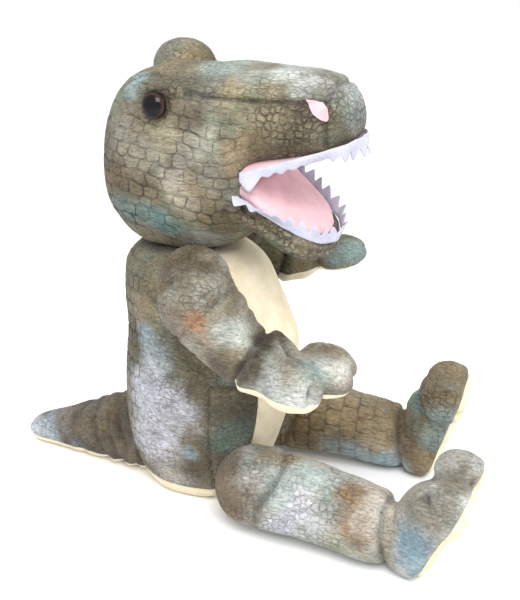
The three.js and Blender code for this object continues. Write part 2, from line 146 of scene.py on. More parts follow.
def lump(bm, middle, radii, turn=(0, 0, 0), place=None):
    spin = rotation(turn[2], "Z") @ rotation(turn[1], "Y") @ rotation(turn[0], "X")
    matrix = Matrix.Translation(middle) @ spin @ Matrix.Diagonal((*radii, 1))
    if place is not None:
        matrix = place @ matrix
    bmesh.ops.create_icosphere(bm, subdivisions=4, radius=1, matrix=matrix)


def meshFrom(bm, name):
    mesh = bpy.data.meshes.new(name)
    bm.to_mesh(mesh)
    bm.free()
    return mesh


def withModifiers(mesh, *steps):
    holder = bpy.data.objects.new("holder", mesh)
    bpy.context.scene.collection.objects.link(holder)
    for kind, settings in steps:
        modifier = holder.modifiers.new(kind, kind)
        for key, value in settings.items():
            setattr(modifier, key, value)
    graph = bpy.context.evaluated_depsgraph_get()
    made = bpy.data.meshes.new_from_object(holder.evaluated_get(graph))
    bpy.data.objects.remove(holder)
    return made


def puffed(bm, name, voxel, relax):
    # the lumps become one skin, smoothed like stuffed cloth
    bmesh.ops.recalc_face_normals(bm, faces=bm.faces)
    return withModifiers(
        meshFrom(bm, name),
        ("REMESH", {"mode": "VOXEL", "voxel_size": voxel}),
        ("SMOOTH", {"factor": 0.5, "iterations": relax}),
        ("SUBSURF", {"levels": 1, "render_levels": 1}),
    )


def pointsOf(mesh):
    spots = np.empty(len(mesh.vertices) * 3)
    mesh.vertices.foreach_get("co", spots)
    return spots.reshape(-1, 3)


def normalsOf(mesh):
    normals = np.empty(len(mesh.vertices) * 3)
    mesh.vertex_normals.foreach_get("vector", normals)
    return normals.reshape(-1, 3)


def setPoints(mesh, spots):
    mesh.vertices.foreach_set("co", spots.ravel())
    mesh.update()


def setValue(mesh, name, values, kind="FLOAT"):
    attribute = mesh.attributes.get(name) or mesh.attributes.new(name, kind, "POINT")
    field = {"FLOAT": "value", "FLOAT_VECTOR": "vector", "FLOAT_COLOR": "color"}[kind]
    attribute.data.foreach_set(field, np.asarray(values, np.float32).ravel())


def movedBy(spots, matrix):
    numbers = np.array(matrix)
    return spots @ numbers[:3, :3].T + numbers[:3, 3]


def raiseTo(mesh, level):
    # nothing reaches below a level
    spots = pointsOf(mesh)
    spots[:, 2] = np.maximum(spots[:, 2], level)
    setPoints(mesh, spots)


def paint(code):
    parts = [int(code[k:k + 2], 16) / 255 for k in (1, 3, 5)]
    return np.array([c / 12.92 if c <= 0.04045 else ((c + 0.055) / 1.055) ** 2.4 for c in parts])


def dyeSkin(mesh, dye, seed, wander, place=None):
    # tie-dyed colour: clouds of tints over a base, then soft patches of x, y, z, radius and colour with ragged edges
    # the dye is the same on both sides, unless a place says where a limb stands in the object
    spots = pointsOf(mesh)
    if place is not None:
        spots = movedBy(spots, place)
    moved = spots + wander * np.stack([layeredNoise(spots, 28, seed + 11 * k, 5) for k in range(3)], axis=1)
    if place is None:
        moved[:, 0] = -np.abs(moved[:, 0])
    colour = np.tile(paint(dye["base"]), (len(spots), 1))

    def lay(share, code):
        return colour * (1 - share[:, None]) + paint(code) * share[:, None]

    for k, (size, code) in enumerate(dye["tints"]):
        colour = lay(0.6 * smoothStep(-0.02, 0.45, layeredNoise(moved, size, seed + 40 + k, 4)), code)
    ragged = 0.34 * layeredNoise(spots, 11, seed + 30, 4)
    for x, y, z, radius, code in dye["patches"]:
        gap = np.linalg.norm((moved - (x, y, z)) / radius, axis=1) + ragged
        colour = lay(0.9 * (1 - smoothStep(0.35, 1.3, gap)), code)
    tone = 1 + 0.34 * layeredNoise(spots, 13, seed + 5, 4)
    setValue(mesh, "dye", np.hstack([colour * tone[:, None], np.ones((len(spots), 1))]), "FLOAT_COLOR")


def cutInto(mesh, planes, labelOf, thickness, names):
    # cuts a skin along its seams and gives each panel the thickness of its cloth
    whole = bmesh.new()
    whole.from_mesh(mesh)
    for point, normal in planes:
        geometry = whole.verts[:] + whole.edges[:] + whole.faces[:]
        bmesh.ops.bisect_plane(whole, geom=geometry, dist=0.01, plane_co=point, plane_no=normal)
    middles = np.array([face.calc_center_median() for face in whole.faces])
    labels = labelOf(middles)
    panels = {}
    for name in names:
        panel = whole.copy()
        panel.faces.ensure_lookup_table()
        others = [panel.faces[k] for k in np.nonzero(labels != name)[0]]
        bmesh.ops.delete(panel, geom=others, context="FACES")
        sheet = meshFrom(panel, name)
        panels[name] = withModifiers(sheet, ("SOLIDIFY", {"thickness": thickness, "offset": -1}))
    whole.free()
    return panels


def finishPiece(name, mesh, material, slot, nodes=(), body=None, blend=None):
    mesh.transform(Matrix.Scale(metre, 4))
    mesh.materials.clear()
    mesh.materials.append(material)
    mesh.polygons.foreach_set("use_smooth", [True] * len(mesh.polygons))
    mesh.name = name
    piece = bpy.data.objects.new(name, mesh)
    bpy.context.scene.collection.objects.link(piece)
    if blend:
        first, second, start, end = blend
        Vector(start) * metre
        Vector(end) * metre
        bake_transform(piece)
    else:
        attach(piece, body)
    if nodes:
        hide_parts(*nodes)
    return piece


class Wire:
    # a node socket that adds Math nodes when it is used in a sum
    def __init__(self, tree, socket):
        self.tree = tree
        self.socket = socket

    def math(self, operation, other, swapped=False):
        node = self.tree.nodes.new("ShaderNodeMath")
        node.operation = operation
        for slot, value in enumerate((other, self) if swapped else (self, other)):
            if isinstance(value, Wire):
                self.tree.links.new(value.socket, node.inputs[slot])
            else:
                node.inputs[slot].default_value = value
        return Wire(self.tree, node.outputs[0])

    def __add__(self, other):
        return self.math("ADD", other)

    def __radd__(self, other):
        return self.math("ADD", other, True)

    def __sub__(self, other):
        return self.math("SUBTRACT", other)

    def __rsub__(self, other):
        return self.math("SUBTRACT", other, True)

    def __mul__(self, other):
        return self.math("MULTIPLY", other)

    def __rmul__(self, other):
        return self.math("MULTIPLY", other, True)

    def fromMiddle(self):
        # 0 halfway through each whole step, 1 at its ends
        return (2 * self.math("FRACT", 0) - 1).math("ABSOLUTE", 0)


class Finish:
    # one material, whose nodes are added by kind, settings and inputs
    def __init__(self, name):
        self.material = bpy.data.materials.new(name)
        self.material.use_nodes = True
        self.tree = self.material.node_tree
        self.tree.nodes.clear()
        self.shader = self.tree.nodes.new("ShaderNodeBsdfPrincipled")
        output = self.tree.nodes.new("ShaderNodeOutputMaterial")
        self.tree.links.new(self.shader.outputs[0], output.inputs[0])

    def node(self, kind, settings=None, inputs=None, output=0):
        node = self.tree.nodes.new("ShaderNode" + kind)
        for key, value in (settings or {}).items():
            if key == "stops":
                self.rampStops(node, value)
            else:
                setattr(node, key, value)
        for key, value in (inputs or {}).items():
            self.feed(node.inputs[key], value)
        return Wire(self.tree, node.outputs[output])

    def rampStops(self, node, stops):
        ramp = node.color_ramp
        while len(ramp.elements) < len(stops):
            ramp.elements.new(0.5)
        for element, (place, colour) in zip(ramp.elements, stops):
            element.position = place
            element.color = (*colour, 1)

    def feed(self, socket, value):
        if isinstance(value, Wire):
            self.tree.links.new(value.socket, socket)
        else:
            socket.default_value = value

    def set(self, **inputs):
        for key, value in inputs.items():
            self.feed(self.shader.inputs[key.replace("_", " ")], value)


tileStep = {"shift": 0.618, "across": 4, "up": 3.4, "start": 0.55, "end": 1.05}
plush = {"pile": 850, "pileBump": 0.45, "scaleBump": 1.0, "pebbles": 235, "pebbleGroove": 0.15, "patches": 150,
         "drift": 110, "worn": 75, "sheen": 0.10, "roughness": 0.9, "depth": 0.76}


def plushFinish(name):
    # short pile over embossed scales; the cloth carries its dye, the painted shade of its pressed lines and the run of
    # its scales
    finish = Finish(name)
    place = finish.node("TexCoord", output=3)
    combed = finish.node("Mapping", {}, {"Vector": place, "Scale": (1, 0.2, 1)})
    coarse = finish.node("TexNoise", {}, {"Vector": combed, "Scale": plush["pile"], "Detail": 3, "Distortion": 0.5})
    fine = finish.node("TexNoise", {}, {"Vector": combed, "Scale": 2.4 * plush["pile"], "Detail": 2})
    patchy = finish.node("TexNoise", {}, {"Vector": place, "Scale": plush["patches"], "Detail": 3,
                                              "Distortion": 0.6})
    drift = finish.node("TexNoise", {}, {"Vector": place, "Scale": plush["drift"], "Detail": 2}, output=1)
    dye = finish.node("Attribute", {"attribute_name": "dye"})
    relief = finish.node("Attribute", {"attribute_name": "relief"}, output=2)
    emboss = finish.node("Attribute", {"attribute_name": "emboss"}, output=2)
    rows = finish.node("Attribute", {"attribute_name": "rows"}, output=1)
    across, up, share = (finish.node("SeparateXYZ", {}, {"Vector": rows}, output=k) for k in range(3))
    row = up.math("FLOOR", 0)
    across = across + tileStep["shift"] * row
    column = across.math("FLOOR", 0)
    tile = finish.node("CombineXYZ", {}, {"X": column, "Y": row})
    depth = finish.node("TexWhiteNoise", {"noise_dimensions": "2D"}, {"Vector": tile})
    rowEdge = across.fromMiddle().math("POWER", tileStep["across"]) + up.fromMiddle().math("POWER", tileStep["up"])
    wavy = finish.node("VectorMath", {"operation": "MULTIPLY_ADD"}, {0: drift, 1: (0.003,) * 3, 2: place})
    smallEdge = finish.node("TexVoronoi", {"feature": "DISTANCE_TO_EDGE"},
                            {"Vector": wavy, "Scale": plush["pebbles"], "Randomness": 0.75})
    pressed = {"interpolation_type": "SMOOTHSTEP"}
    rowGroove = finish.node("MapRange", pressed, {"Value": rowEdge, "From Min": tileStep["start"],
                                                  "From Max": tileStep["end"]})
    rowScale = 1 - rowGroove * (0.35 + 0.65 * depth)
    smallScale = finish.node("MapRange", pressed, {"Value": smallEdge, "From Min": 0.0,
                                                   "From Max": plush["pebbleGroove"]})
    worn = finish.node("TexNoise", {}, {"Vector": place, "Scale": plush["worn"], "Detail": 2})
    faint = finish.node("MapRange", pressed, {"Value": worn, "From Min": 0.38, "From Max": 0.62})
    scales = 1 - emboss * (0.35 + 0.65 * faint) * (1 - smallScale - share * (rowScale - smallScale))
    pileShade = 1 + 1.7 * (coarse - 0.5) + 1.2 * (fine - 0.5) + 0.6 * (patchy - 0.5)
    # painted shade: the colour is darkened in the creases and seams and in the grooves round the scales
    light = pileShade * (0.35 + 0.65 * relief) * (0.55 + 0.45 * scales) * plush["depth"]
    value = finish.node("CombineColor", {}, {"Red": light, "Green": light, "Blue": light})
    colour = finish.node("Mix", {"data_type": "RGBA", "blend_type": "MULTIPLY"},
                         {0: 1.0, 6: dye, 7: value}, output=2)
    embossed = finish.node("Bump", {}, {"Height": scales, "Strength": plush["scaleBump"], "Distance": 0.0016})
    normal = finish.node("Bump", {}, {"Height": 0.6 * coarse + 0.4 * fine, "Strength": plush["pileBump"],
                                      "Distance": 0.0007, "Normal": embossed})
    finish.set(Base_Color=colour, Normal=normal, Roughness=plush["roughness"])
    finish.set(Sheen_Weight=plush["sheen"], Sheen_Roughness=0.55)
    finish.set(Specular_IOR_Level=0.15)
    return finish.material


def clothFinish(name, code, shadow, sheen, weave=1400, bump=0.3):
    # short, even velour or felt in one colour with a faint mottling
    finish = Finish(name)
    place = finish.node("TexCoord", output=3)
    mottle = finish.node("TexNoise", {}, {"Vector": place, "Scale": 90, "Detail": 3})
    nap = finish.node("TexNoise", {}, {"Vector": place, "Scale": weave, "Detail": 3, "Roughness": 0.6})
    amount = 0.55 * mottle + 0.45 * nap
    stops = [(0.30, tuple(paint(shadow))), (0.62, tuple(paint(code)))]
    colour = finish.node("ValToRGB", {"stops": stops}, {"Fac": amount})
    normal = finish.node("Bump", {}, {"Height": nap, "Strength": bump, "Distance": 0.0006})
    finish.set(Base_Color=colour, Normal=normal, Roughness=0.9)
    finish.set(Sheen_Weight=sheen, Sheen_Roughness=0.5, Specular_IOR_Level=0.15)
    return finish.material


hideFinish = plushFinish("hidePlush")
velourFinish = clothFinish("creamVelour", "#e8dec6", "#d3c4a2", 0.1)
liningFinish = clothFinish("pinkVelour", "#dfbec3", "#cba5ab", 0.12)
feltFinish = clothFinish("whiteFelt", "#c3c3d2", "#ababbe", 0.05, weave=900, bump=0.5)

print("materials made")


headSize = {"turn": -5, "base": 173, "forward": -2}
headPlace = Matrix.Translation((0, headSize["forward"], headSize["base"])) @ rotation(headSize["turn"], "Z")
armPose = {"right": {"droop": 43, "splay": 4}, "left": {"droop": 30, "splay": 24}}
legPose = {"right": {"splay": 6}, "left": {"splay": 2}}


def armPlace(side):
    pose = armPose[side]
    spin = rotation(sides[side] * pose["splay"], "Z") @ rotation(pose["droop"], "X")
    return Matrix.Translation(jointPlace(side + "_shoulder")) @ spin


def legPlace(side):
    return Matrix.Translation(jointPlace(side + "_hip")) @ rotation(sides[side] * legPose[side]["splay"], "Z")


cloth = {"thickness": 2.0, "fill": 0.8, "clear": 0.2, "felt": 1.2}


def lineGap(spots, line):
    # how far each point is from a line of stitches
    line = np.asarray(line, float)
    best = np.full(len(spots), 1e9)
    for a, b in zip(line[:-1], line[1:]):
        along = np.clip((spots - a) @ (b - a) / ((b - a) @ (b - a)), 0, 1)
        best = np.minimum(best, np.linalg.norm(spots - (a + along[:, None] * (b - a)), axis=1))
    return best


def pressLines(spots, lines, press, height, tone):
    # press gives the width and depth of the creases, how much painted shade darkens them and how far that spreads
    width, depth, shade, spread = press
    for line in lines:
        gap = lineGap(spots, line)
        height += groove(gap, width, depth)
        tone *= 1 - shade * np.exp(-(gap / spread) ** 2)


def pressCreases(spots, creases, place, height, tone):
    # deeper folds, each a line in the object's own places, a width and a depth, darkened along the fold with painted
    # shade
    for line, width, depth in creases:
        local = movedBy(np.array(line, float), place.inverted())
        pressLines(spots, [local], (width, depth, 0.6, width), height, tone)


def planeGap(spots, point, normal):
    normal = np.asarray(normal, float)
    return (spots - point) @ (normal / np.linalg.norm(normal))


def groove(gap, width, depth):
    # pressed down at the line, swelling a little on both sides
    near = np.exp(-(gap / width) ** 2)
    swell = np.exp(-((np.abs(gap) - 2.6 * width) / (1.8 * width)) ** 2)
    return depth * (0.28 * swell - near)


def surfaceTree(mesh):
    bm = bmesh.new()
    bm.from_mesh(mesh)
    tree = BVHTree.FromBMesh(bm)
    bm.free()
    return tree


def pressedBy(spots, other, gap):
    # points that lie inside another stuffed part are moved out to its surface
    tree = surfaceTree(other)
    moved = spots.copy()
    for k, spot in enumerate(spots):
        near, normal = tree.find_nearest(spot, 30)[:2]
        if near is None:
            continue
        outside = (Vector(spot) - near).dot(normal)
        if outside < gap:
            moved[k] = near + normal * gap
    return moved


def copyAt(mesh, place):
    other = mesh.copy()
    other.transform(place)
    return other


def tileRise(rows):
    # 1 on a scale and 0 in the groove round it, by the same rule as the material
    row = np.floor(rows[:, 1])
    places = np.stack([rows[:, 0] + tileStep["shift"] * row, rows[:, 1]])
    across, up = np.abs(2 * (places - np.floor(places)) - 1)
    return 1 - smoothStep(tileStep["start"], tileStep["end"], across ** tileStep["across"] + up ** tileStep["up"])


def shapeSkin(mesh, formOf):
    # formOf gives how far each point rises, how much painted shade darkens its creases and seams, and where and how
    # strongly scales are pressed in
    spots, normals = pointsOf(mesh), normalsOf(mesh)
    height, tone, rows, emboss = formOf(spots, normals)
    share = rows[:, 2]
    height += emboss * (0.9 * share * (tileRise(rows) - 1) + 0.3 * (1 - share) * softNoise(spots, 2.8, 91))
    setPoints(mesh, spots + normals * height[:, None])
    # painted shade of the creases, seams and hem, kept on the skin for the material to darken its colour
    setValue(mesh, "relief", np.clip(tone, 0, 1))
    setValue(mesh, "emboss", np.clip(emboss, 0, 1))
    setValue(mesh, "rows", rows, "FLOAT_VECTOR")


def sewPanels(master, place, planes, labelOf, panels, body):
    # each panel has a slot, and stuffing nodes that it stands in for besides its own
    for name, mesh in cutInto(master, planes, labelOf, cloth["thickness"], list(panels)).items():
        slot, *stuffing = panels[name]
        mesh.transform(place)
        finish = velourFinish if slot == "belly" else hideFinish
        finishPiece(name, mesh, finish, slot, [name, *stuffing], body)


headShape = {
    "skull": [(0, 54, 56, 38, 46), (0, 34, 55, 45, 54), (0, 14, 57, 49, 57.5), (0, -10, 58, 49, 58.5),
              (0, -34, 62, 48.5, 55), (0, -58, 67, 44, 48)],
    "snout": [(0, -14, 90, 41, 27), (0, -44, 89, 41, 28.5), (0, -78, 90.5, 34.5, 26), (0, -110, 90, 29, 22)],
    "hem": {"rise": 46, "narrow": 0.20, "shift": -3},
    "brows": {-1: ((-30, 3, 99), (14.5, 23, 15.5), (16, -14, 0)), 1: ((27, 16, 106), (13.5, 23, 20), (10, 8, 0))},
    "lipBack": -56, "lipRise": 64, "lipSlope": 17, "crownSeam": 104, "noseSeam": -96,
    "scute": (9.4, 7.4), "browPatch": ((33, 9, 106), (17, 28, 22)),
    "socket": {"place": (50, 0, 98.5), "radii": (10, 11, 9), "depth": 5.0},
    "browRidge": [(-42, 24, 101), (-45, 14, 109), (-44.5, 4, 112), (-41, -6, 111.5), (-37, -15, 108), (-34, -24, 104)],
    "ridgeSize": 4.2,
    "creases": [  # lines, then width, depth, painted shade and its spread
        ([(-46, 22, 95), (-49, 13, 103), (-48, 2, 107.5), (-44, -10, 107), (-38, -19, 104)], (1.7, 2.4, 0.65, 2.2)),
        ([(-36, 24, 108), (-37, 12, 116), (-35, 0, 116), (-32, -12, 112)], (2.4, 2.6, 0.4, 2.6)),
        ([(-40, -30, 8), (-43, -40, 30), (-43, -44, 52)], (3.0, 2.4, 0.5, 4)),
        ([(-35, -8, 2), (-35, -8, 30)], (1.2, 1.1, 0, 1.2))],
}
headDye = {
    "base": "#7f7663",
    "tints": [(40, "#8d7f64"), (30, "#6b604e"), (24, "#94948a"), (18, "#77866f")],
    "patches": [
        (-46, -8, 86, 15, "#989078"), (-45, -33, 80, 13, "#a9a898"), (-44, -52, 74, 12, "#908067"),
        (-47, 22, 58, 24, "#655a48"), (-30, 46, 70, 26, "#5c5142"), (-46, 14, 76, 15, "#8e8878"),
        (-44, 4, 30, 13, "#6f8a87"), (-42, -6, 22, 12, "#66807b"), (-34, -26, 10, 17, "#b9b8b0"),
        (-46, -14, 58, 12, "#a9a192"), (-44, -20, 48, 12, "#a89e8c"), (-40, -40, 34, 15, "#6d6148"),
        (-40, 40, 20, 24, "#7c7a68"), (-42, 26, 34, 14, "#6f8078"),
        (-10, -30, 118, 16, "#a4b3ac"), (-10, -68, 118, 15, "#c6ccc6"), (-18, -84, 112, 11, "#b4b8b2"),
        (-30, -44, 110, 12, "#a69a7c"), (-20, -50, 114, 12, "#a0a498"), (-24, -66, 108, 9, "#b7ab90"),
        (0, -100, 106, 14, "#a8b0b0"), (-30, -66, 96, 18, "#8f826a"), (-30, -90, 98, 11, "#6b5f4c"),
        (-24, -106, 88, 15, "#5f5644"), (-12, -108, 96, 12, "#7a7f7c"), (-40, 14, 114, 11, "#9fb6bc"),
        (-46, 22, 104, 10, "#869a98"), (-30, -6, 112, 14, "#6d6350"), (-12, 2, 116, 16, "#8c7f63"),
        (-34, -62, 80, 14, "#75674f"), (-34, -84, 84, 14, "#6b5f4b"), (-44, -4, 100, 10, "#5f5443"),
        (-43, -22, 96, 10, "#6d5f4a"),
    ],
}


def lipHeight(y):
    return headShape["lipRise"] + (headShape["lipBack"] - y) * math.tan(math.radians(headShape["lipSlope"]))


def scuteRows(spots):
    x, y, z = spots.T
    around = np.where(y < 2, 2 - y, -50 * np.arctan2(np.maximum(y - 2, 0), np.abs(x) + 1e-6))
    rise = z + 5 * np.sin(around / 34) + 1.6 * softNoise(spots, 18, 4) + 1.5 * softNoise(spots, 8, 14)
    return around + 2.2 * softNoise(spots, 10, 8), rise


def headHeight(spots, normals):
    x, y, z = spots.T
    shape = headShape
    around, rise = scuteRows(spots)
    toSnout = np.maximum(smoothStep(-46, -62, y), smoothStep(100, 108, z))
    wide, high = shape["scute"]
    rows = np.stack([around / wide, rise / high, 1 - toSnout], axis=1)
    emboss = 0.35 + 0.65 * smoothStep(-0.5, 0.3, layeredNoise(spots, 20, 61))
    emboss *= 1 - 0.55 * smoothStep(100, 112, z)
    height = 1.5 * layeredNoise(spots, 34, 21) + 0.12 * softNoise(spots, 1.9, 23)
    side = np.stack([-np.abs(x), y, z], axis=1)
    noseGap = planeGap(spots, (0, shape["noseSeam"], 0), (0, 1, 0))
    high = z > lipHeight(y) + 2
    height += groove(noseGap, 1.5, 1.5) * high
    seam = np.where((y > shape["noseSeam"]) & (y < -14), z - shape["crownSeam"], 9)
    height += groove(seam, 1.3, 1.6)
    puckers = np.cos(12 * np.arctan2(x, z - 88)) * np.exp(-(noseGap / 6) ** 2)
    height += 0.7 * puckers * high
    height += shape["ridgeSize"] * np.exp(-(lineGap(side, shape["browRidge"]) / shape["ridgeSize"]) ** 2)
    # painted shade along the crown seam and the nose seam
    tone = 1 - 0.85 * np.exp(-(seam / 1.6) ** 2) - 0.4 * np.exp(-(noseGap / 1.8) ** 2) * high
    # the creases are pressed in and darkened with painted shade
    for line, press in shape["creases"]:
        pressLines(side, [line], press, height, tone)
    tone *= 1 - 0.45 * np.exp(-((z - 3) / 4) ** 2)  # the shaded lower edge of the hood
    return height, tone, rows, emboss


def makeHead():
    shape = headShape
    bm = bmesh.new()
    stuffed(bm, shape["skull"], (0, -1, 0), (0.26, 0.12))
    for vert in bm.verts:
        if vert.co.y < -48 and vert.co.z < shape["lipRise"]:
            vert.co.y = -48
    snout = stuffed(bm, shape["snout"], (0, -1, 0), (0.1, 0.27))
    for vert in snout:
        vert.co.z = max(vert.co.z, lipHeight(vert.co.y))
    for middle, radii, turn in shape["brows"].values():
        lump(bm, middle, radii, turn)
    hem = shape["hem"]
    for vert in bm.verts:
        # the hood draws in towards its lower edge
        low = max(0, 1 - max(vert.co.z, 0) / hem["rise"]) ** 1.6
        vert.co.x *= 1 - hem["narrow"] * low
        vert.co.y = (vert.co.y - hem["shift"]) * (1 - hem["narrow"] * low) + hem["shift"]
        vert.co.z = max(vert.co.z, 0)
    master = puffed(bm, "headSkin", 2.5, 7)
    spots = pointsOf(master)
    socket = shape["socket"]
    for sign in (-1, 1):
        eye = np.array((sign * socket["place"][0], *socket["place"][1:]))
        gap = np.linalg.norm((spots - eye) / socket["radii"], axis=1)
        spots[:, 0] -= sign * socket["depth"] * np.exp(-(gap / 0.95) ** 4)
    setPoints(master, spots)
    shapeSkin(master, headHeight)
    dyeSkin(master, headDye, 7, 9)

    def labelOf(middles):
        x, y, z = middles.T
        names = np.where(x < 0, "cheek_right", "cheek_left").astype("<U16")
        names[z > shape["crownSeam"]] = "crown_panel"
        names[y < shape["noseSeam"]] = "muzzle_panel"
        patch, radii = shape["browPatch"]
        for side, sign in sides.items():
            near = (middles - (sign * patch[0], *patch[1:])) / radii
            inside = (np.linalg.norm(near, axis=1) < 1) & (z > shape["crownSeam"])
            names[inside] = "brow_" + side
        return names

    planes = [((0, 0, 0), (1, 0, 0)), ((0, 0, shape["crownSeam"]), (0, 0, 1)), ((0, shape["noseSeam"], 0), (0, 1, 0))]
    sewPanels(master, headPlace, planes, labelOf, {
        "cheek_right": ("hide", "head_stuffing"), "cheek_left": ("hide",),
        "crown_panel": ("hide",), "muzzle_panel": ("hide",),
        "brow_right": ("dark_hide",), "brow_left": ("dark_hide",),
    }, "head")
    return master


headSkin = makeHead()
print("head made")

eyeSize = {"place": (45, 0, 98.5), "radius": 7.8, "dome": 5.2, "back": 2.0, "facing": 84}


def eyeFinish():
    finish = Finish("glossEye")
    ring = finish.node("Attribute", {"attribute_name": "ring"}, output=2)
    place = finish.node("TexCoord", output=3)
    flecks = finish.node("TexNoise", {}, {"Vector": place, "Scale": 900, "Detail": 2})
    stops = [(0.0, (0.003, 0.003, 0.004)), (0.74, (0.004, 0.003, 0.004)), (0.82, (0.030, 0.012, 0.008)),
             (0.90, (0.045, 0.020, 0.013)), (0.97, (0.012, 0.007, 0.005)), (1.0, (0.006, 0.005, 0.005))]
    colour = finish.node("ValToRGB", {"stops": stops}, {"Fac": ring + (flecks - 0.5) * 0.12})
    finish.set(Base_Color=colour, Roughness=0.06, Specular_IOR_Level=0.22)
    return finish.material


def makeEyes():
    finish = eyeFinish()
    size = eyeSize
    for side, sign in sides.items():
        bm = bmesh.new()
        middle = Vector((sign * size["place"][0], *size["place"][1:]))
        bmesh.ops.create_uvsphere(bm, u_segments=48, v_segments=32, radius=1)
        for vert in bm.verts:
            depth = size["dome"] if vert.co.z > 0 else size["back"]
            vert.co = (vert.co.x * size["radius"], vert.co.y * size["radius"], vert.co.z * depth)
        facing = rotation(sign * size["facing"], "Y")
        ring = [math.hypot(v.co.x, v.co.y) / size["radius"] if v.co.z > -0.1 else 1 for v in bm.verts]
        bmesh.ops.transform(bm, matrix=Matrix.Translation(middle) @ facing, verts=bm.verts)
        mesh = meshFrom(bm, "eye_" + side)
        setValue(mesh, "ring", ring)
        mesh.transform(headPlace)
        finishPiece("eye_" + side, mesh, finish, "eye", ["eye_" + side, "eye_washer_" + side], "head")


makeEyes()

nostrilSize = {"back": -99.5, "rise": 100.5, "length": 17, "width": 7.0, "thickness": 1.2, "tilt": -48}


def makeNostrils():
    size = nostrilSize
    tree = surfaceTree(headSkin)
    for side, sign in sides.items():
        bm = bmesh.new()
        bmesh.ops.create_grid(bm, x_segments=14, y_segments=14, size=1)
        for vert in bm.verts:
            # a square turned into a drop, pointed at the back and round at the front
            a, b = vert.co.x, vert.co.y
            a, b = a * math.sqrt(1 - b * b / 2), b * math.sqrt(1 - a * a / 2)
            b *= 1 - 0.75 * max(0, a) ** 1.5
            b += 0.35 * (a * a - 0.3)
            vert.co = (0.5 * size["length"] * a, 0.5 * size["width"] * b, 0)
        tilt = rotation(size["tilt"], "X")
        for vert in bm.verts:
            flat = tilt @ Vector((0, vert.co.y, vert.co.x))
            start = Vector((sign * 60, size["back"] + flat.y, size["rise"] + flat.z))
            hit, normal, _, _ = tree.ray_cast(start, Vector((-sign, 0.25, 0)))
            if hit:
                vert.co = hit + normal * 0.5
        bmesh.ops.recalc_face_normals(bm, faces=bm.faces)
        mesh = withModifiers(meshFrom(bm, "nostril"), ("SOLIDIFY", {"thickness": size["thickness"], "offset": 0}),
                             ("SUBSURF", {"levels": 2, "render_levels": 2}))
        mesh.transform(headPlace)
        finishPiece("nostril_" + side, mesh, liningFinish, "lining", ["nostril_" + side], "head")


makeNostrils()
print("eyes and nostrils made")

jawShape = {
    "stations": [(0, -37, 39, 38, 14), (0, -56, 35, 38, 14.5), (0, -75, 23, 34, 13.5), (0, -95, 13, 24, 9)],
    "bedBack": -53, "bedRise": 47, "bedSlope": 33, "rimSeam": 7.5,
}
jawDye = {
    "base": "#6f6552", "tints": headDye["tints"],
    "patches": [(-38, -60, 32, 14, "#7d725c"), (-30, -84, 20, 14, "#948a74"),
                (0, -98, 8, 18, "#85806c"), (0, -60, 20, 24, "#8d887a")],
}


def bedHeight(y):
    return jawShape["bedRise"] - (jawShape["bedBack"] - y) * math.tan(math.radians(jawShape["bedSlope"]))


def jawHeight(spots, normals):
    x, y, z = spots.T
    height = 1.0 * layeredNoise(spots, 26, 33) + 0.1 * softNoise(spots, 1.9, 35)
    rimGap = bedHeight(y) - z - jawShape["rimSeam"]
    height += groove(rimGap, 1.2, 1.2) * (normals[:, 2] < 0.6)
    # painted shade along the rim seam
    tone = 1 - 0.4 * np.exp(-(rimGap / 1.6) ** 2)
    return height, tone, spots * 0, np.full(len(spots), 0.85)


def makeJaw():
    bm = bmesh.new()
    stuffed(bm, jawShape["stations"], (0, -1, 0), (0.16, 0.18))
    for vert in bm.verts:
        vert.co.z = min(vert.co.z, bedHeight(vert.co.y))
    master = puffed(bm, "jawSkin", 2.2, 5)
    shapeSkin(master, jawHeight)
    dyeSkin(master, jawDye, 9, 13)
    master.transform(headPlace)
    nodes = ["lower_jaw_cover", "jaw_stuffing"]
    finishPiece("lower_jaw_cover", master, hideFinish, "hide", nodes, "jaw")


makeJaw()


def liningPad(name, stations, folds, body=None, blend=None):
    bm = bmesh.new()
    stuffed(bm, stations, (0, -1, 0), (0.16, 0.2), 3.2)
    master = puffed(bm, name, 2.2, 6)
    spots, normals = pointsOf(master), normalsOf(master)
    height = 0.8 * layeredNoise(spots, 24, 41)
    for line in folds:
        height += groove(lineGap(spots, line), 2.6, 2.0)
    setPoints(master, spots + normals * height[:, None])
    master.transform(headPlace)
    finishPiece(name, master, liningFinish, "lining", [name], body, blend)


mouthShape = {
    "roof": [(0, -40, 61, 40, 5), (0, -52, 63, 38.5, 4.5), (0, -78, 69.5, 31.5, 4), (0, -104, 77, 23, 3.5)],
    "floor": [(0, -39, 57, 40.5, 5), (0, -50, 50.5, 37.5, 5.5), (0, -70, 35.5, 33, 5), (0, -93, 21.5, 21, 4)],
    "floorFold": [(-32, -50, 54), (0, -50, 56), (32, -50, 54)], "hinge": ((0, -45, 58), (0, -56, 46)), "fill": 0.4,
}


liningPad("upper_mouth_lining", mouthShape["roof"], [], "head")
hinge = [headPlace @ Vector(point) for point in mouthShape["hinge"]]
liningPad("lower_mouth_lining", mouthShape["floor"], [mouthShape["floorFold"]], blend=("head", "jaw", *hinge))

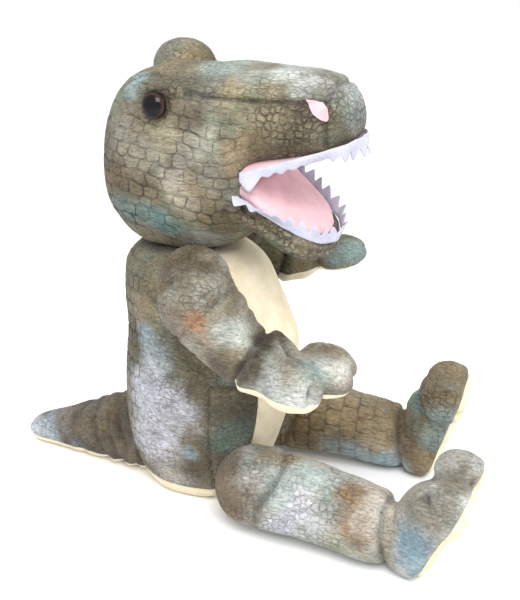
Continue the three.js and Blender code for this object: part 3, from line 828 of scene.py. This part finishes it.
toothShape = {
    "upper": {"run": [(-39.5, -50), (-38.5, -62), (-34, -79), (-27.5, -95), (-18, -105.5), (0, -109.5),
                      (18, -105.5), (27.5, -95), (34, -79), (38.5, -62), (39.5, -50)],
              "teeth": [8, 2.5, 3, 2, 3, 2.5, 4, 7, 8, 8, 8, 8, 7, 4, 2.5, 3, 2, 3, 2.5, 8], "endWidth": 1.8,
              "band": 3.0, "lean": [6, -8, -30, -34, -4, 14, -4, -34, -30, -8, 6], "root": 2.2},
    "lower": {"endWidth": 1.3, "run": [(-37.5, -45), (-36.5, -56), (-32, -72), (-26, -84), (-17, -92), (0, -96),
                      (17, -92), (26, -84), (32, -72), (36.5, -56), (37.5, -45)],
              "teeth": [7.5, 7, 6.5, 7, 7, 7, 7, 6.5, 6.5, 6.5, 6.5, 6.5, 7, 7, 7, 7.5, 7.5, 7.5, 7],
              "band": 2.6, "lean": [100, 96, 35, 8, 10, 22, 30, 34, 36, 38, 40], "root": 2.0},
}


def makeTeeth(name, shape, heightOf, up, body):
    # a felt strip along the edge of the mouth, its free side cut in points
    bm = bmesh.new()
    count = len(shape["teeth"])
    widths = np.array([shape["endWidth"]] + [1.0] * (count - 2) + [shape["endWidth"]])
    ends = np.concatenate([[0], np.cumsum(widths) / widths.sum()])
    bmesh.ops.create_grid(bm, x_segments=count * 8, y_segments=4, size=1)
    run = [(x, y, heightOf(y)) for x, y in shape["run"]]
    path = spline(run, np.linspace(0, 1, 400))
    lengths = np.concatenate([[0], np.cumsum(np.linalg.norm(np.diff(path, axis=0), axis=1))])

    def along(where):
        return np.array([np.interp(where, lengths, path[:, k]) for k in range(3)])

    for vert in bm.verts:
        t = (vert.co.x + 1) / 2
        across = (vert.co.y + 1) / 2
        where = t * lengths[-1]
        forward = along(where + 1) - along(where - 1)
        outward = np.array((forward[1], -forward[0], 0)) / (np.hypot(forward[0], forward[1]) + 1e-9)
        tooth = int(np.clip(np.searchsorted(ends, t, "right") - 1, 0, count - 1))
        point = 1 - abs(2 * (t - ends[tooth]) / (ends[tooth + 1] - ends[tooth]) - 1)
        free = shape["band"] + shape["teeth"][tooth] * point ** 0.9
        reach = -shape["root"] + across * (shape["root"] + free)
        lean = math.radians(np.interp(t * 10, range(11), shape["lean"]) + 9 * math.sin(where / 4.1))
        out = max(reach, 0) * math.sin(lean) + 0.9 + 0.3 * math.sin(where / 2.3)
        rise = max(reach, 0) * math.cos(lean) + min(reach, 0)
        vert.co = along(where) + outward * out + np.array((0, 0, up * rise))
    bmesh.ops.recalc_face_normals(bm, faces=bm.faces)
    mesh = withModifiers(meshFrom(bm, name), ("SOLIDIFY", {"thickness": cloth["felt"], "offset": 0}),
                         ("SUBSURF", {"levels": 1, "render_levels": 1}))
    mesh.transform(headPlace)
    piece = finishPiece(name, mesh, feltFinish, "teeth", [name], body)
    teeth = np.array(shape["teeth"])
    band = shape["root"] + shape["band"]
    width, length = (band + max(teeth)) * metre, lengths[-1] * metre
    area = (band + 0.52 * (teeth * widths).sum() / widths.sum()) * metre * length
    print(name, "flat", round(width, 4), round(length, 4), "area", round(area, 6))


makeTeeth("upper_teeth", toothShape["upper"], lipHeight, -1, "head")
makeTeeth("lower_teeth", toothShape["lower"], bedHeight, 1, "jaw")
print("mouth made")

legShape = {
    "leg": [(0, 20, 0, 21, 23), (0, -14, 0, 25, 25), (0, -51, -1, 24, 24), (0, -102, -9, 21.5, 21)],
    "lumps": [((1, -114, -12), (22, 21, 21), 12), ((1, -122, 8), (22.5, 21, 24), 16),
              ((-12, -136, 24), (14, 23, 17), 20), ((5, -136, 43), (11.5, 16, 14), 16),
              ((18, -135, 32), (10, 17, 16), 16)],
    "ankle": ((0, -97, -8), (0, -1, 0.14)), "soleBase": (0, -126, -33), "soleLean": 22, "soleDepth": 9,
    "heelBack": -104, "footTilt": {"right": 0, "left": -7},
    "hipPiece": ((0, -18, 0), (0, -1, -0.35)),
    "creases": {
        "right": [([(-79, -166, 64), (-78, -171, 69), (-76, -179, 74), (-75, -186, 76), (-70, -194, 74),
                    (-62, -199, 68)], 2.4, 4.5),
                  ([(-82, -178, 60), (-80, -173, 64), (-77, -167, 68), (-66, -164, 72), (-52, -164, 70)], 2.6, 3.5)],
        "left": [([(46, -149, 58), (39, -156, 67), (33, -164, 68), (30, -171, 66), (28, -177, 62)], 2.4, 4.5),
                 ([(30, -152, 62), (42, -152, 66), (52, -151, 62)], 2.6, 3.0)]},
    "wrinkles": [[(-26, -20, 4), (-18, -28, 18), (2, -30, 24)], [(-25, -34, -8), (-22, -44, 8), (-10, -50, 20)],
                 [(-22, -82, -8), (-18, -84, 6), (-6, -88, 12)]],
    "wrinklePress": (2.4, 1.6, 0.35, 2.6), "scute": (11.5, 11.0),
}
legDye = {
    "right": {"base": "#b0aea6", "tints": [(26, "#c3c8c6"), (20, "#a99a84"), (15, "#9fb0a8")], "patches": [
        (-60, -44, 40, 30, "#6a5b48"), (-65, -44, 20, 20, "#7a6a54"), (-52, -76, 54, 13, "#a39478"),
        (-66, -84, 42, 15, "#b5c2bf"), (-70, -94, 36, 14, "#dcdce4"), (-74, -84, 22, 14, "#c9ccd6"),
        (-60, -98, 50, 12, "#b4c3bf"), (-66, -112, 42, 12, "#98a19a"), (-62, -126, 48, 13, "#94795a"),
        (-72, -128, 30, 12, "#927252"), (-60, -140, 40, 11, "#cfc8bd"), (-70, -132, 34, 10, "#c3b7a8"),
        (-76, -118, 14, 14, "#a2a491"), (-60, -146, 22, 12, "#a5825f"), (-84, -160, 34, 18, "#7f9aa8"),
        (-80, -158, 60, 16, "#8d8f85"), (-84, -176, 62, 14, "#8a8576"), (-72, -184, 78, 14, "#77705f"),
        (-66, -170, 60, 18, "#9a978a"), (-84, -166, 14, 14, "#90a4ad"), (-60, -150, 20, 16, "#8d8a7a")]},
    "left": {"base": "#85765c", "tints": [(30, "#9c8c70"), (22, "#6f6350"), (18, "#8f9790")], "patches": [
        (26, -80, 40, 26, "#7b6a50"), (36, -100, 50, 20, "#8f7d60"), (32, -124, 38, 18, "#9b8b70"),
        (34, -110, 14, 22, "#a3b1b6"), (36, -132, 12, 16, "#9fb4bd"), (40, -145, 40, 16, "#6f624e"),
        (44, -156, 56, 16, "#6f857f"), (30, -170, 60, 14, "#8fa09c"), (42, -174, 78, 14, "#7c7562"),
        (30, -166, 36, 14, "#86968f"), (60, -90, 40, 30, "#8c8168")]},
}


def besideLeg(spots):
    x, y, z = spots.T
    around = np.arctan2(x, z + 4) * 25
    return -y + 0.8 * softNoise(spots, 12, 3), around + 1.5 * softNoise(spots, 20, 5)


def legHeight(side):
    def heightOf(spots, normals):
        x, y, z = spots.T
        shape = legShape
        along, around = besideLeg(spots)
        ankleGap = planeGap(spots, *shape["ankle"])
        toFoot = smoothStep(-4, 8, ankleGap)
        wide, high = shape["scute"]
        big = (0.85 if side == "left" else 0.0) * (1 - toFoot)
        rows = np.stack([around / wide, along / high, big], axis=1)
        soleGap = planeGap(spots, *solePlane(side))
        plain = smoothStep(-0.5, 2.5, soleGap)
        pressed = 0.95 if side == "left" else 0.45
        clouds = smoothStep(-0.4, 0.2, layeredNoise(spots, 22, 19))
        emboss = plain * pressed * (1 - 0.4 * toFoot) * (0.45 + 0.55 * clouds)
        height = (1.5 * layeredNoise(spots, 30, 15) + 0.11 * softNoise(spots, 1.9, 17)) * (0.3 + 0.7 * plain)
        height += groove(ankleGap, 1.4, 1.4)
        hipGap = planeGap(spots, *shape["hipPiece"]) + 2.5 * np.sin(x / 9)
        height += groove(hipGap, 2.2, 2.3) * (0.35 + 0.65 * smoothStep(-18, 10, z))
        outer = np.stack([x * -sides[side], y, z], axis=1)
        tone = np.ones(len(spots))
        # the wrinkles and creases are pressed in and darkened with painted shade
        pressLines(outer, shape["wrinkles"], shape["wrinklePress"], height, tone)
        pressCreases(spots, shape["creases"][side], legPlace(side), height, tone)
        height += groove(soleGap, 1.3, 1.3) * toFoot
        # painted shade along the ankle seam and the hip seam
        tone *= 1 - 0.6 * np.exp(-(ankleGap / 1.8) ** 2) - 0.55 * np.exp(-(hipGap / 2.2) ** 2)
        return height, tone, rows, emboss
    return heightOf


def solePlane(side):
    # a point and the inward direction of the flat underside of a foot
    lean = math.radians(legShape["soleLean"])
    tilt = rotation(legShape["footTilt"][side], "X")
    heel = Vector((0, legShape["heelBack"], -legPlace(side).translation.z))
    inward = Vector((0, math.cos(lean), math.sin(lean)))
    point = Vector(legShape["soleBase"]) + inward * legShape["soleDepth"]
    return heel + tilt @ (point - heel), tilt @ inward


def makeLeg(side):
    sign = sides[side]
    shape = legShape
    place = legPlace(side)
    bm = bmesh.new()
    stuffed(bm, shape["leg"], (0, -1, 0), (0.2, 0.08))
    for middle, radii, lean in shape["lumps"]:
        lump(bm, (-sign * middle[0] if side == "left" else middle[0], *middle[1:]), radii, (lean, 0, 0))
    floor = -place.translation.z
    tilt = rotation(shape["footTilt"][side], "X")
    heel = Vector((0, shape["heelBack"], floor))
    for vert in bm.verts:
        if vert.co.y < heel.y:
            vert.co = heel + tilt @ (vert.co - heel)
        vert.co.z = max(vert.co.z, floor + 0.4)
    master = puffed(bm, "legSkin", 2.5, 4)
    spots = pointsOf(master)
    solePoint, soleNormal = solePlane(side)
    past = np.minimum(planeGap(spots, solePoint, soleNormal), 0)
    setPoints(master, spots - 0.6 * past[:, None] * np.array(soleNormal))
    shapeSkin(master, legHeight(side))
    raiseTo(master, floor + cloth["clear"])
    dyeSkin(master, legDye[side], 17, 8, place)
    ankle = shape["ankle"]

    def labelOf(middles):
        beyond = planeGap(middles, *ankle) > 0
        front = planeGap(middles, solePoint, soleNormal) < 0
        names = np.where(beyond, "foot_upper_" + side, "leg_cover_" + side).astype("<U20")
        names[beyond & front] = "sole_" + side
        return names

    sewPanels(master, place, [ankle, (solePoint, soleNormal)], labelOf, {
        "leg_cover_" + side: ("hide", "leg_stuffing_" + side),
        "foot_upper_" + side: ("blue_hide", "foot_stuffing_" + side),
        "sole_" + side: ("belly",),
    }, side + "_leg")
    return copyAt(master, place)


legSkins = {side: makeLeg(side) for side in sides}
print("legs made")

tailShape = {
    "stations": [(0, 5, 30, 28, 28), (0, 34, 28, 29, 28), (0, 64, 24, 23, 24), (0, 100, 16.5, 15, 16.5),
                 (0, 139, 8.5, 8, 8.5)],
    "underside": 7, "rings": (30, 38, 47, 57, 70, 86),
    "dye": {"base": "#62574a", "tints": [(26, "#786c58"), (18, "#4b4236"), (15, "#7c8078")], "patches": [
        (-6, 134, 12, 16, "#c6ccd6"), (-8, 114, 16, 16, "#b3bec6"), (-9, 94, 24, 15, "#8a8377"),
        (-14, 74, 30, 16, "#6f6350"), (-20, 50, 34, 22, "#4d4437"), (-8, 60, 40, 16, "#7d6f58"),
        (-8, 88, 8, 16, "#8f9aa0"), (-22, 40, 14, 20, "#6f6452")]},
}


def tailHeight(spots, normals):
    x, y, z = spots.T
    height = 1.2 * layeredNoise(spots, 24, 53) + 0.1 * softNoise(spots, 1.9, 55)
    tone = np.ones(len(spots))
    # the rings are pressed in and darkened with painted shade
    for k, start in enumerate(tailShape["rings"]):
        gap = y - start - 4 * np.sin(z / 9 + k) - 3 * np.sin(x / 8 + 2 * k)
        height += groove(gap, 2.6, 1.1)
        tone *= 1 - 0.4 * np.exp(-(gap / 2.2) ** 2)
    height += groove(z - tailShape["underside"], 1.3, 1.0)
    rows = np.stack([x / 9, y / 11, np.full(len(spots), 0.3)], axis=1)
    return height, tone, rows, np.full(len(spots), 0.55)


def makeTail():
    bm = bmesh.new()
    stuffed(bm, tailShape["stations"], (0, 1, 0), (0.22, 0.08))
    for vert in bm.verts:
        vert.co.z = max(vert.co.z, 0.5)
    master = puffed(bm, "tailSkin", 2.4, 5)
    shapeSkin(master, tailHeight)
    raiseTo(master, cloth["clear"])
    dyeSkin(master, tailShape["dye"], 57, 8)
    seam = ((0, 0, tailShape["underside"]), (0, 0, 1))

    def labelOf(middles):
        return np.where(middles[:, 2] < tailShape["underside"], "tail_underside", "tail_cover")

    sewPanels(master, Matrix.Identity(4), [seam], labelOf, {
        "tail_cover": ("hide", "tail_stuffing"), "tail_underside": ("belly",),
    }, "tail")
    return master


tailSkin = makeTail()
print("tail made")

armShape = {
    "arm": [(0, 19, 3, 18.5, 25), (0, -10, 2, 18.5, 25), (0, -36, 0, 17.5, 20), (0, -60, 1, 16.5, 17)],
    "root": ((-9, 4, 4), (15, 22, 25)),
    "lumps": [((0, -12, 0), (21.5, 20, 17)), ((11.5, -31, -1), (14.5, 19, 15.5)), ((-6, -43, 0), (12, 20, 14)),
              ((-19, -43, 3), (8.5, 18, 11))],
    "bend": -37, "wrist": (0, -52, 0), "wristWay": (0, -1, 0.3), "cap": -14, "palm": -5,
    "rings": (4, -4, -12, -27, -38, -47),
    "capEdge": [(-17, 15, -14), (-15, 14, 0), (-8, 10, 13), (-7, -6, 19), (-3, -22, 19), (8, -27, 18)],
    "creases": {
        "right": [([(-56, -76, 142), (-65, -85.5, 140), (-74, -93, 137), (-81, -99.6, 132), (-85, -103, 127),
                    (-87, -105, 121)], 2.4, 6.5),
                  ([(-40, -96, 136), (-46, -107, 131), (-51, -113.5, 125), (-54, -116, 118)], 2.2, 3.5)],
        "left": [([(84, -80, 152), (88, -90, 151), (91, -99, 148)], 2.2, 3.5)]},
}
armDye = {
    "right": {"base": "#8a8272", "tints": [(22, "#9d9a8e"), (16, "#76694f"), (14, "#a5aaa2")], "patches": [
        (-62, 2, 184, 24, "#5f5138"), (-78, 6, 168, 18, "#6b5d42"), (-50, -24, 186, 20, "#5c4f37"),
        (-60, -34, 176, 12, "#5f523c"), (-76, -22, 154, 12, "#84796a"), (-80, -34, 160, 9, "#a1795c"),
        (-79, -44, 150, 9, "#a89580"), (-77, -54, 152, 13, "#b4bab2"), (-74, -66, 146, 10, "#a9ada2"),
        (-66, -48, 126, 15, "#4b4034"), (-64, -66, 122, 12, "#463b2f"),
        (-74, -72, 148, 10, "#554a3c"), (-62, -74, 152, 14, "#5a4d3c"), (-84, -72, 134, 9, "#4f4638"),
        (-86, -84, 126, 14, "#b9beb9"), (-88, -98, 120, 14, "#cfd2cd"), (-80, -92, 130, 9, "#a9a391"),
        (-72, -104, 134, 12, "#8ea49e"), (-64, -112, 134, 12, "#c3c2b8"),
        (-77, -58, 118, 8, "#382e23"), (-80, -62, 130, 9, "#382e23"), (-77, -67, 140, 9, "#3d3327"),
        (-68, -71, 146, 9, "#3d3327"), (-56, -75, 147, 10, "#3d3327"), (-44, -80, 144, 10, "#453a2d")]},
    "left": {"base": "#7c7763", "tints": [(22, "#8e8a76"), (16, "#6a6450")], "patches": [
        (57, -42, 144, 20, "#6c6a50"), (60, -60, 142, 16, "#7d7058"), (64, -80, 150, 18, "#7f9290"),
        (76, -95, 147, 18, "#8fa3a0"), (70, -10, 170, 26, "#5c503f")]},
}


def armHeight(side):
    def heightOf(spots, normals):
        x, y, z = spots.T
        hand = smoothStep(-46, -58, y)
        height = 1.4 * layeredNoise(spots, 26, 63) + 0.13 * softNoise(spots, 1.9, 65)
        tone = np.ones(len(spots))
        # the rings are pressed in and darkened with painted shade where they are not broken
        for k, start in enumerate(armShape["rings"]):
            gap = y - start - 3 * np.sin(x / 8 + 1.7 * k) - 3 * np.sin(z / 7 + k)
            broken = smoothStep(-0.2, 0.5, softNoise(spots, 16, 80 + k))
            height += groove(gap, 2.0, 1.0) * broken
            tone *= 1 - 0.35 * np.exp(-(gap / 2.2) ** 2) * broken
        wristGap = planeGap(spots, armShape["wrist"], armShape["wristWay"])
        height += groove(wristGap, 1.6, 2.0) + 2.2 * np.exp(-((wristGap - 6) / 4) ** 2)
        capGap = y - armShape["cap"]
        height += groove(capGap, 1.6, 0.5)
        outer = np.stack([x * -sides[side], y, z], axis=1)
        pressCreases(outer, [(armShape["capEdge"], 1.9, 2.6)], Matrix.Identity(4), height, tone)
        pressCreases(spots, armShape["creases"][side], armPlace(side), height, tone)
        # painted shade along the wrist seam and the cap seam
        tone *= 1 - 0.5 * np.exp(-(wristGap / 2) ** 2) - 0.2 * np.exp(-(capGap / 1.8) ** 2)
        return height, tone, spots * 0, 0.08 + 0.1 * hand + 0.35 * smoothStep(-18, -12, y)
    return heightOf


def makeArm(side):
    sign = sides[side]
    shape = armShape
    place = armPlace(side)
    wrist = Matrix.Translation(shape["wrist"]) @ rotation(shape["bend"], "X")
    bm = bmesh.new()
    stuffed(bm, shape["arm"], (0, -1, 0), (0.28, 0.1))
    root, reach = shape["root"]
    lump(bm, (sign * root[0], *root[1:]), reach)
    for middle, radii in shape["lumps"]:
        lump(bm, (sign * middle[0], *middle[1:]), radii, (0, 0, 0), wrist)
    master = puffed(bm, "armSkin", 2.2, 3)
    shapeSkin(master, armHeight(side))
    dyeSkin(master, armDye[side], 67, 7, place)
    palmPoint = wrist @ Vector((0, 0, shape["palm"]))
    palmNormal = wrist.to_3x3() @ Vector((0, 0, 1))

    def labelOf(middles):
        beyond = planeGap(middles, shape["wrist"], shape["wristWay"]) > 0
        below = planeGap(middles, palmPoint, palmNormal) < 0
        names = np.where(middles[:, 1] > shape["cap"], "shoulder_cap_" + side, "arm_cover_" + side).astype("<U20")
        names[beyond] = "hand_back_" + side
        names[beyond & below] = "palm_" + side
        return names

    planes = [((0, shape["cap"], 0), (0, 1, 0)), (shape["wrist"], shape["wristWay"]), (palmPoint, palmNormal)]
    sewPanels(master, place, planes, labelOf, {
        "shoulder_cap_" + side: ("dark_hide",),
        "arm_cover_" + side: ("hide", "arm_stuffing_" + side),
        "hand_back_" + side: ("blue_hide",), "palm_" + side: ("belly",),
    }, side + "_arm")
    return copyAt(master, place)


armSkins = {side: makeArm(side) for side in sides}
print("arms made")

bodyShape = {
    "stations": [(0, -8, -16, 26, 30), (0, -6, 18, 43, 46), (0, -9, 59.4, 50, 55.5), (0, -13, 110, 44, 58),
                 (0, -6, 151, 41.5, 49.5), (0, 2, 186, 36, 41)],
    "top": 176, "seat": 12, "bellyEdge": 33, "bellyFront": -20, "gussetBack": -27, "gussetRise": 96, "gussetLow": 30,
    "flap": [(-14, 40, 172), (-20, 41, 150), (-24, 43, 128), (-26, 44, 108)], "flapPress": (1.6, 2.2, 0.5, 2),
    "folds": [[(-46, 20, 118), (-48, 0, 112), (-46, -20, 108)], [(-40, -34, 120), (-30, -56, 112), (-6, -68, 108)],
              [(-46, 26, 92), (-50, 6, 88)], [(-48, 14, 56), (-50, -8, 50), (-50, -22, 54)]],
    "foldPress": (3.2, 1.5, 0.3, 3),
    "dye": {"base": "#7b735f", "tints": [(34, "#8a8270"), (24, "#66604c"), (20, "#7f8d86")], "patches": [
        (-37, 18, 118, 13, "#8fa2aa"), (-40, 10, 104, 15, "#a3acae"), (-43, 15, 78, 24, "#c2c3cd"),
        (-47, -7, 76, 20, "#b6b6bc"), (-44, 16, 47, 24, "#cbcbd4"), (-47, -24, 52, 17, "#6b5f4b"),
        (-46, -18, 36, 14, "#5d5140"), (-48, -12, 44, 8, "#8b999f"), (-30, 26, 165, 24, "#6f6a58"),
        (-38, 14, 147, 18, "#8b8166"), (-42, -20, 130, 24, "#6a604c"), (-40, -46, 80, 22, "#5a5646"),
        (-42, -36, 60, 16, "#5e6b60"), (-20, 40, 110, 24, "#5c5340"), (-20, 38, 60, 26, "#75705f"),
        (-44, 4, 20, 18, "#bcb6ae"), (-45, -22, 92, 14, "#655d4a")]},
}


def bodyHeight(spots, normals):
    x, y, z = spots.T
    shape = bodyShape
    side = np.stack([-np.abs(x), y, z], axis=1)
    front = (y < shape["bellyFront"]) & (np.abs(x) < shape["bellyEdge"])
    low = z < shape["seat"]
    plain = np.where(front | low, 0.0, 1.0)
    rows = np.stack([(x + y) / 9.5, z / 10, smoothStep(14, 24, y)], axis=1)
    emboss = plain * (0.45 + 0.4 * rows[:, 2])
    height = 1.8 * layeredNoise(spots, 40, 75) * (0.4 + 0.6 * plain) + 0.1 * softNoise(spots, 1.9, 77) * plain
    tone = np.ones(len(spots))
    beside = np.abs(x) > shape["bellyEdge"]
    far = 9  # a gap at which a seam no longer shows
    bellySeam = np.where(y < shape["bellyFront"], np.abs(x) - shape["bellyEdge"], far)
    seatSeam = z - shape["seat"]
    gussetSide = np.where((z < shape["gussetRise"]) & beside, y - shape["gussetBack"], far)
    gussetTop = np.where((y < shape["gussetBack"]) & beside, z - shape["gussetRise"], far)
    # the seams are pressed in and darkened with painted shade
    for gap, depth in ((bellySeam, 1.4), (seatSeam, 1.0), (gussetSide, 1.3), (gussetTop, 1.1)):
        height += groove(gap, 1.4, depth)
        tone *= 1 - 0.4 * np.exp(-(gap / 1.8) ** 2)
    # painted shade in the flap and the folds
    pressLines(side, [shape["flap"]], shape["flapPress"], height, tone)
    pressLines(side, shape["folds"], shape["foldPress"], height, tone)
    return height, tone, rows, emboss


def makeBody():
    shape = bodyShape
    bm = bmesh.new()
    stuffed(bm, shape["stations"], (0, 0, 1), (0.08, 0.16))
    for vert in bm.verts:
        vert.co.z = min(max(vert.co.z, 0.6), shape["top"])
    master = puffed(bm, "bodySkin", 2.7, 6)
    spots = pointsOf(master)
    for other in (*legSkins.values(), tailSkin, *armSkins.values()):
        spots = pressedBy(spots, other, -1.5)
    setPoints(master, spots)
    shapeSkin(master, bodyHeight)
    raiseTo(master, cloth["clear"])
    dyeSkin(master, shape["dye"], 79, 9)

    def labelOf(middles):
        x, y, z = middles.T
        names = np.where(x < 0, "body_side_right", "body_side_left").astype("<U20")
        outer = np.abs(x) > shape["bellyEdge"]
        low = (z > shape["gussetLow"]) & (z < shape["gussetRise"])
        gusset = (y < shape["gussetBack"]) & low & outer
        names[gusset & (x < 0)] = "thigh_gusset_right"
        names[gusset & (x > 0)] = "thigh_gusset_left"
        names[(y < shape["bellyFront"]) & ~outer] = "belly_panel"
        names[z < shape["seat"]] = "seat_panel"
        return names

    edge = shape["bellyEdge"]
    planes = [((0, 0, 0), (1, 0, 0)), ((edge, 0, 0), (1, 0, 0)), ((-edge, 0, 0), (1, 0, 0)),
              ((0, shape["bellyFront"], 0), (0, 1, 0)), ((0, shape["gussetBack"], 0), (0, 1, 0)),
              ((0, 0, shape["gussetRise"]), (0, 0, 1)), ((0, 0, shape["gussetLow"]), (0, 0, 1)),
              ((0, 0, shape["seat"]), (0, 0, 1))]
    sewPanels(master, Matrix.Identity(4), planes, labelOf, {
        "body_side_right": ("hide", "body_stuffing"), "body_side_left": ("hide",),
        "thigh_gusset_right": ("dark_hide",), "thigh_gusset_left": ("dark_hide",),
        "belly_panel": ("belly",), "seat_panel": ("belly",),
    }, "torso")


makeBody()
print("body made")

studio = {
    "floor": 6.0, "floorColour": "#fefefe", "world": 1.0, "aim": (0, -0.03, 0.12),
    "lights": {"keyLight": ((-0.75, -0.35, 1.15), 0.7, 15), "fillLight": ((0.7, -1.0, 0.7), 0.9, 3)},
}


def makeStudio():
    bm = bmesh.new()
    bmesh.ops.create_grid(bm, x_segments=1, y_segments=1, size=studio["floor"])
    floor = bpy.data.objects.new("floor", meshFrom(bm, "floor"))
    bpy.context.scene.collection.objects.link(floor)
    finish = Finish("floorPaper")
    finish.set(Base_Color=(*paint(studio["floorColour"]), 1), Roughness=0.9)
    floor.data.materials.append(finish.material)
    world = bpy.data.worlds.new("studioAir")
    world.use_nodes = True
    world.node_tree.nodes["Background"].inputs[0].default_value = (1, 1, 1, 1)
    world.node_tree.nodes["Background"].inputs[1].default_value = studio["world"]
    bpy.context.scene.world = world
    for name, (place, size, power) in studio["lights"].items():
        data = bpy.data.lights.new(name, "AREA")
        data.size = size
        data.energy = power
        light = bpy.data.objects.new(name, data)
        light.location = place
        light.rotation_euler = (Vector(studio["aim"]) - Vector(place)).to_track_quat("-Z", "Y").to_euler()
        bpy.context.scene.collection.objects.link(light)
    bpy.context.scene.view_settings.view_transform = "Standard"


makeStudio()
print("studio made")
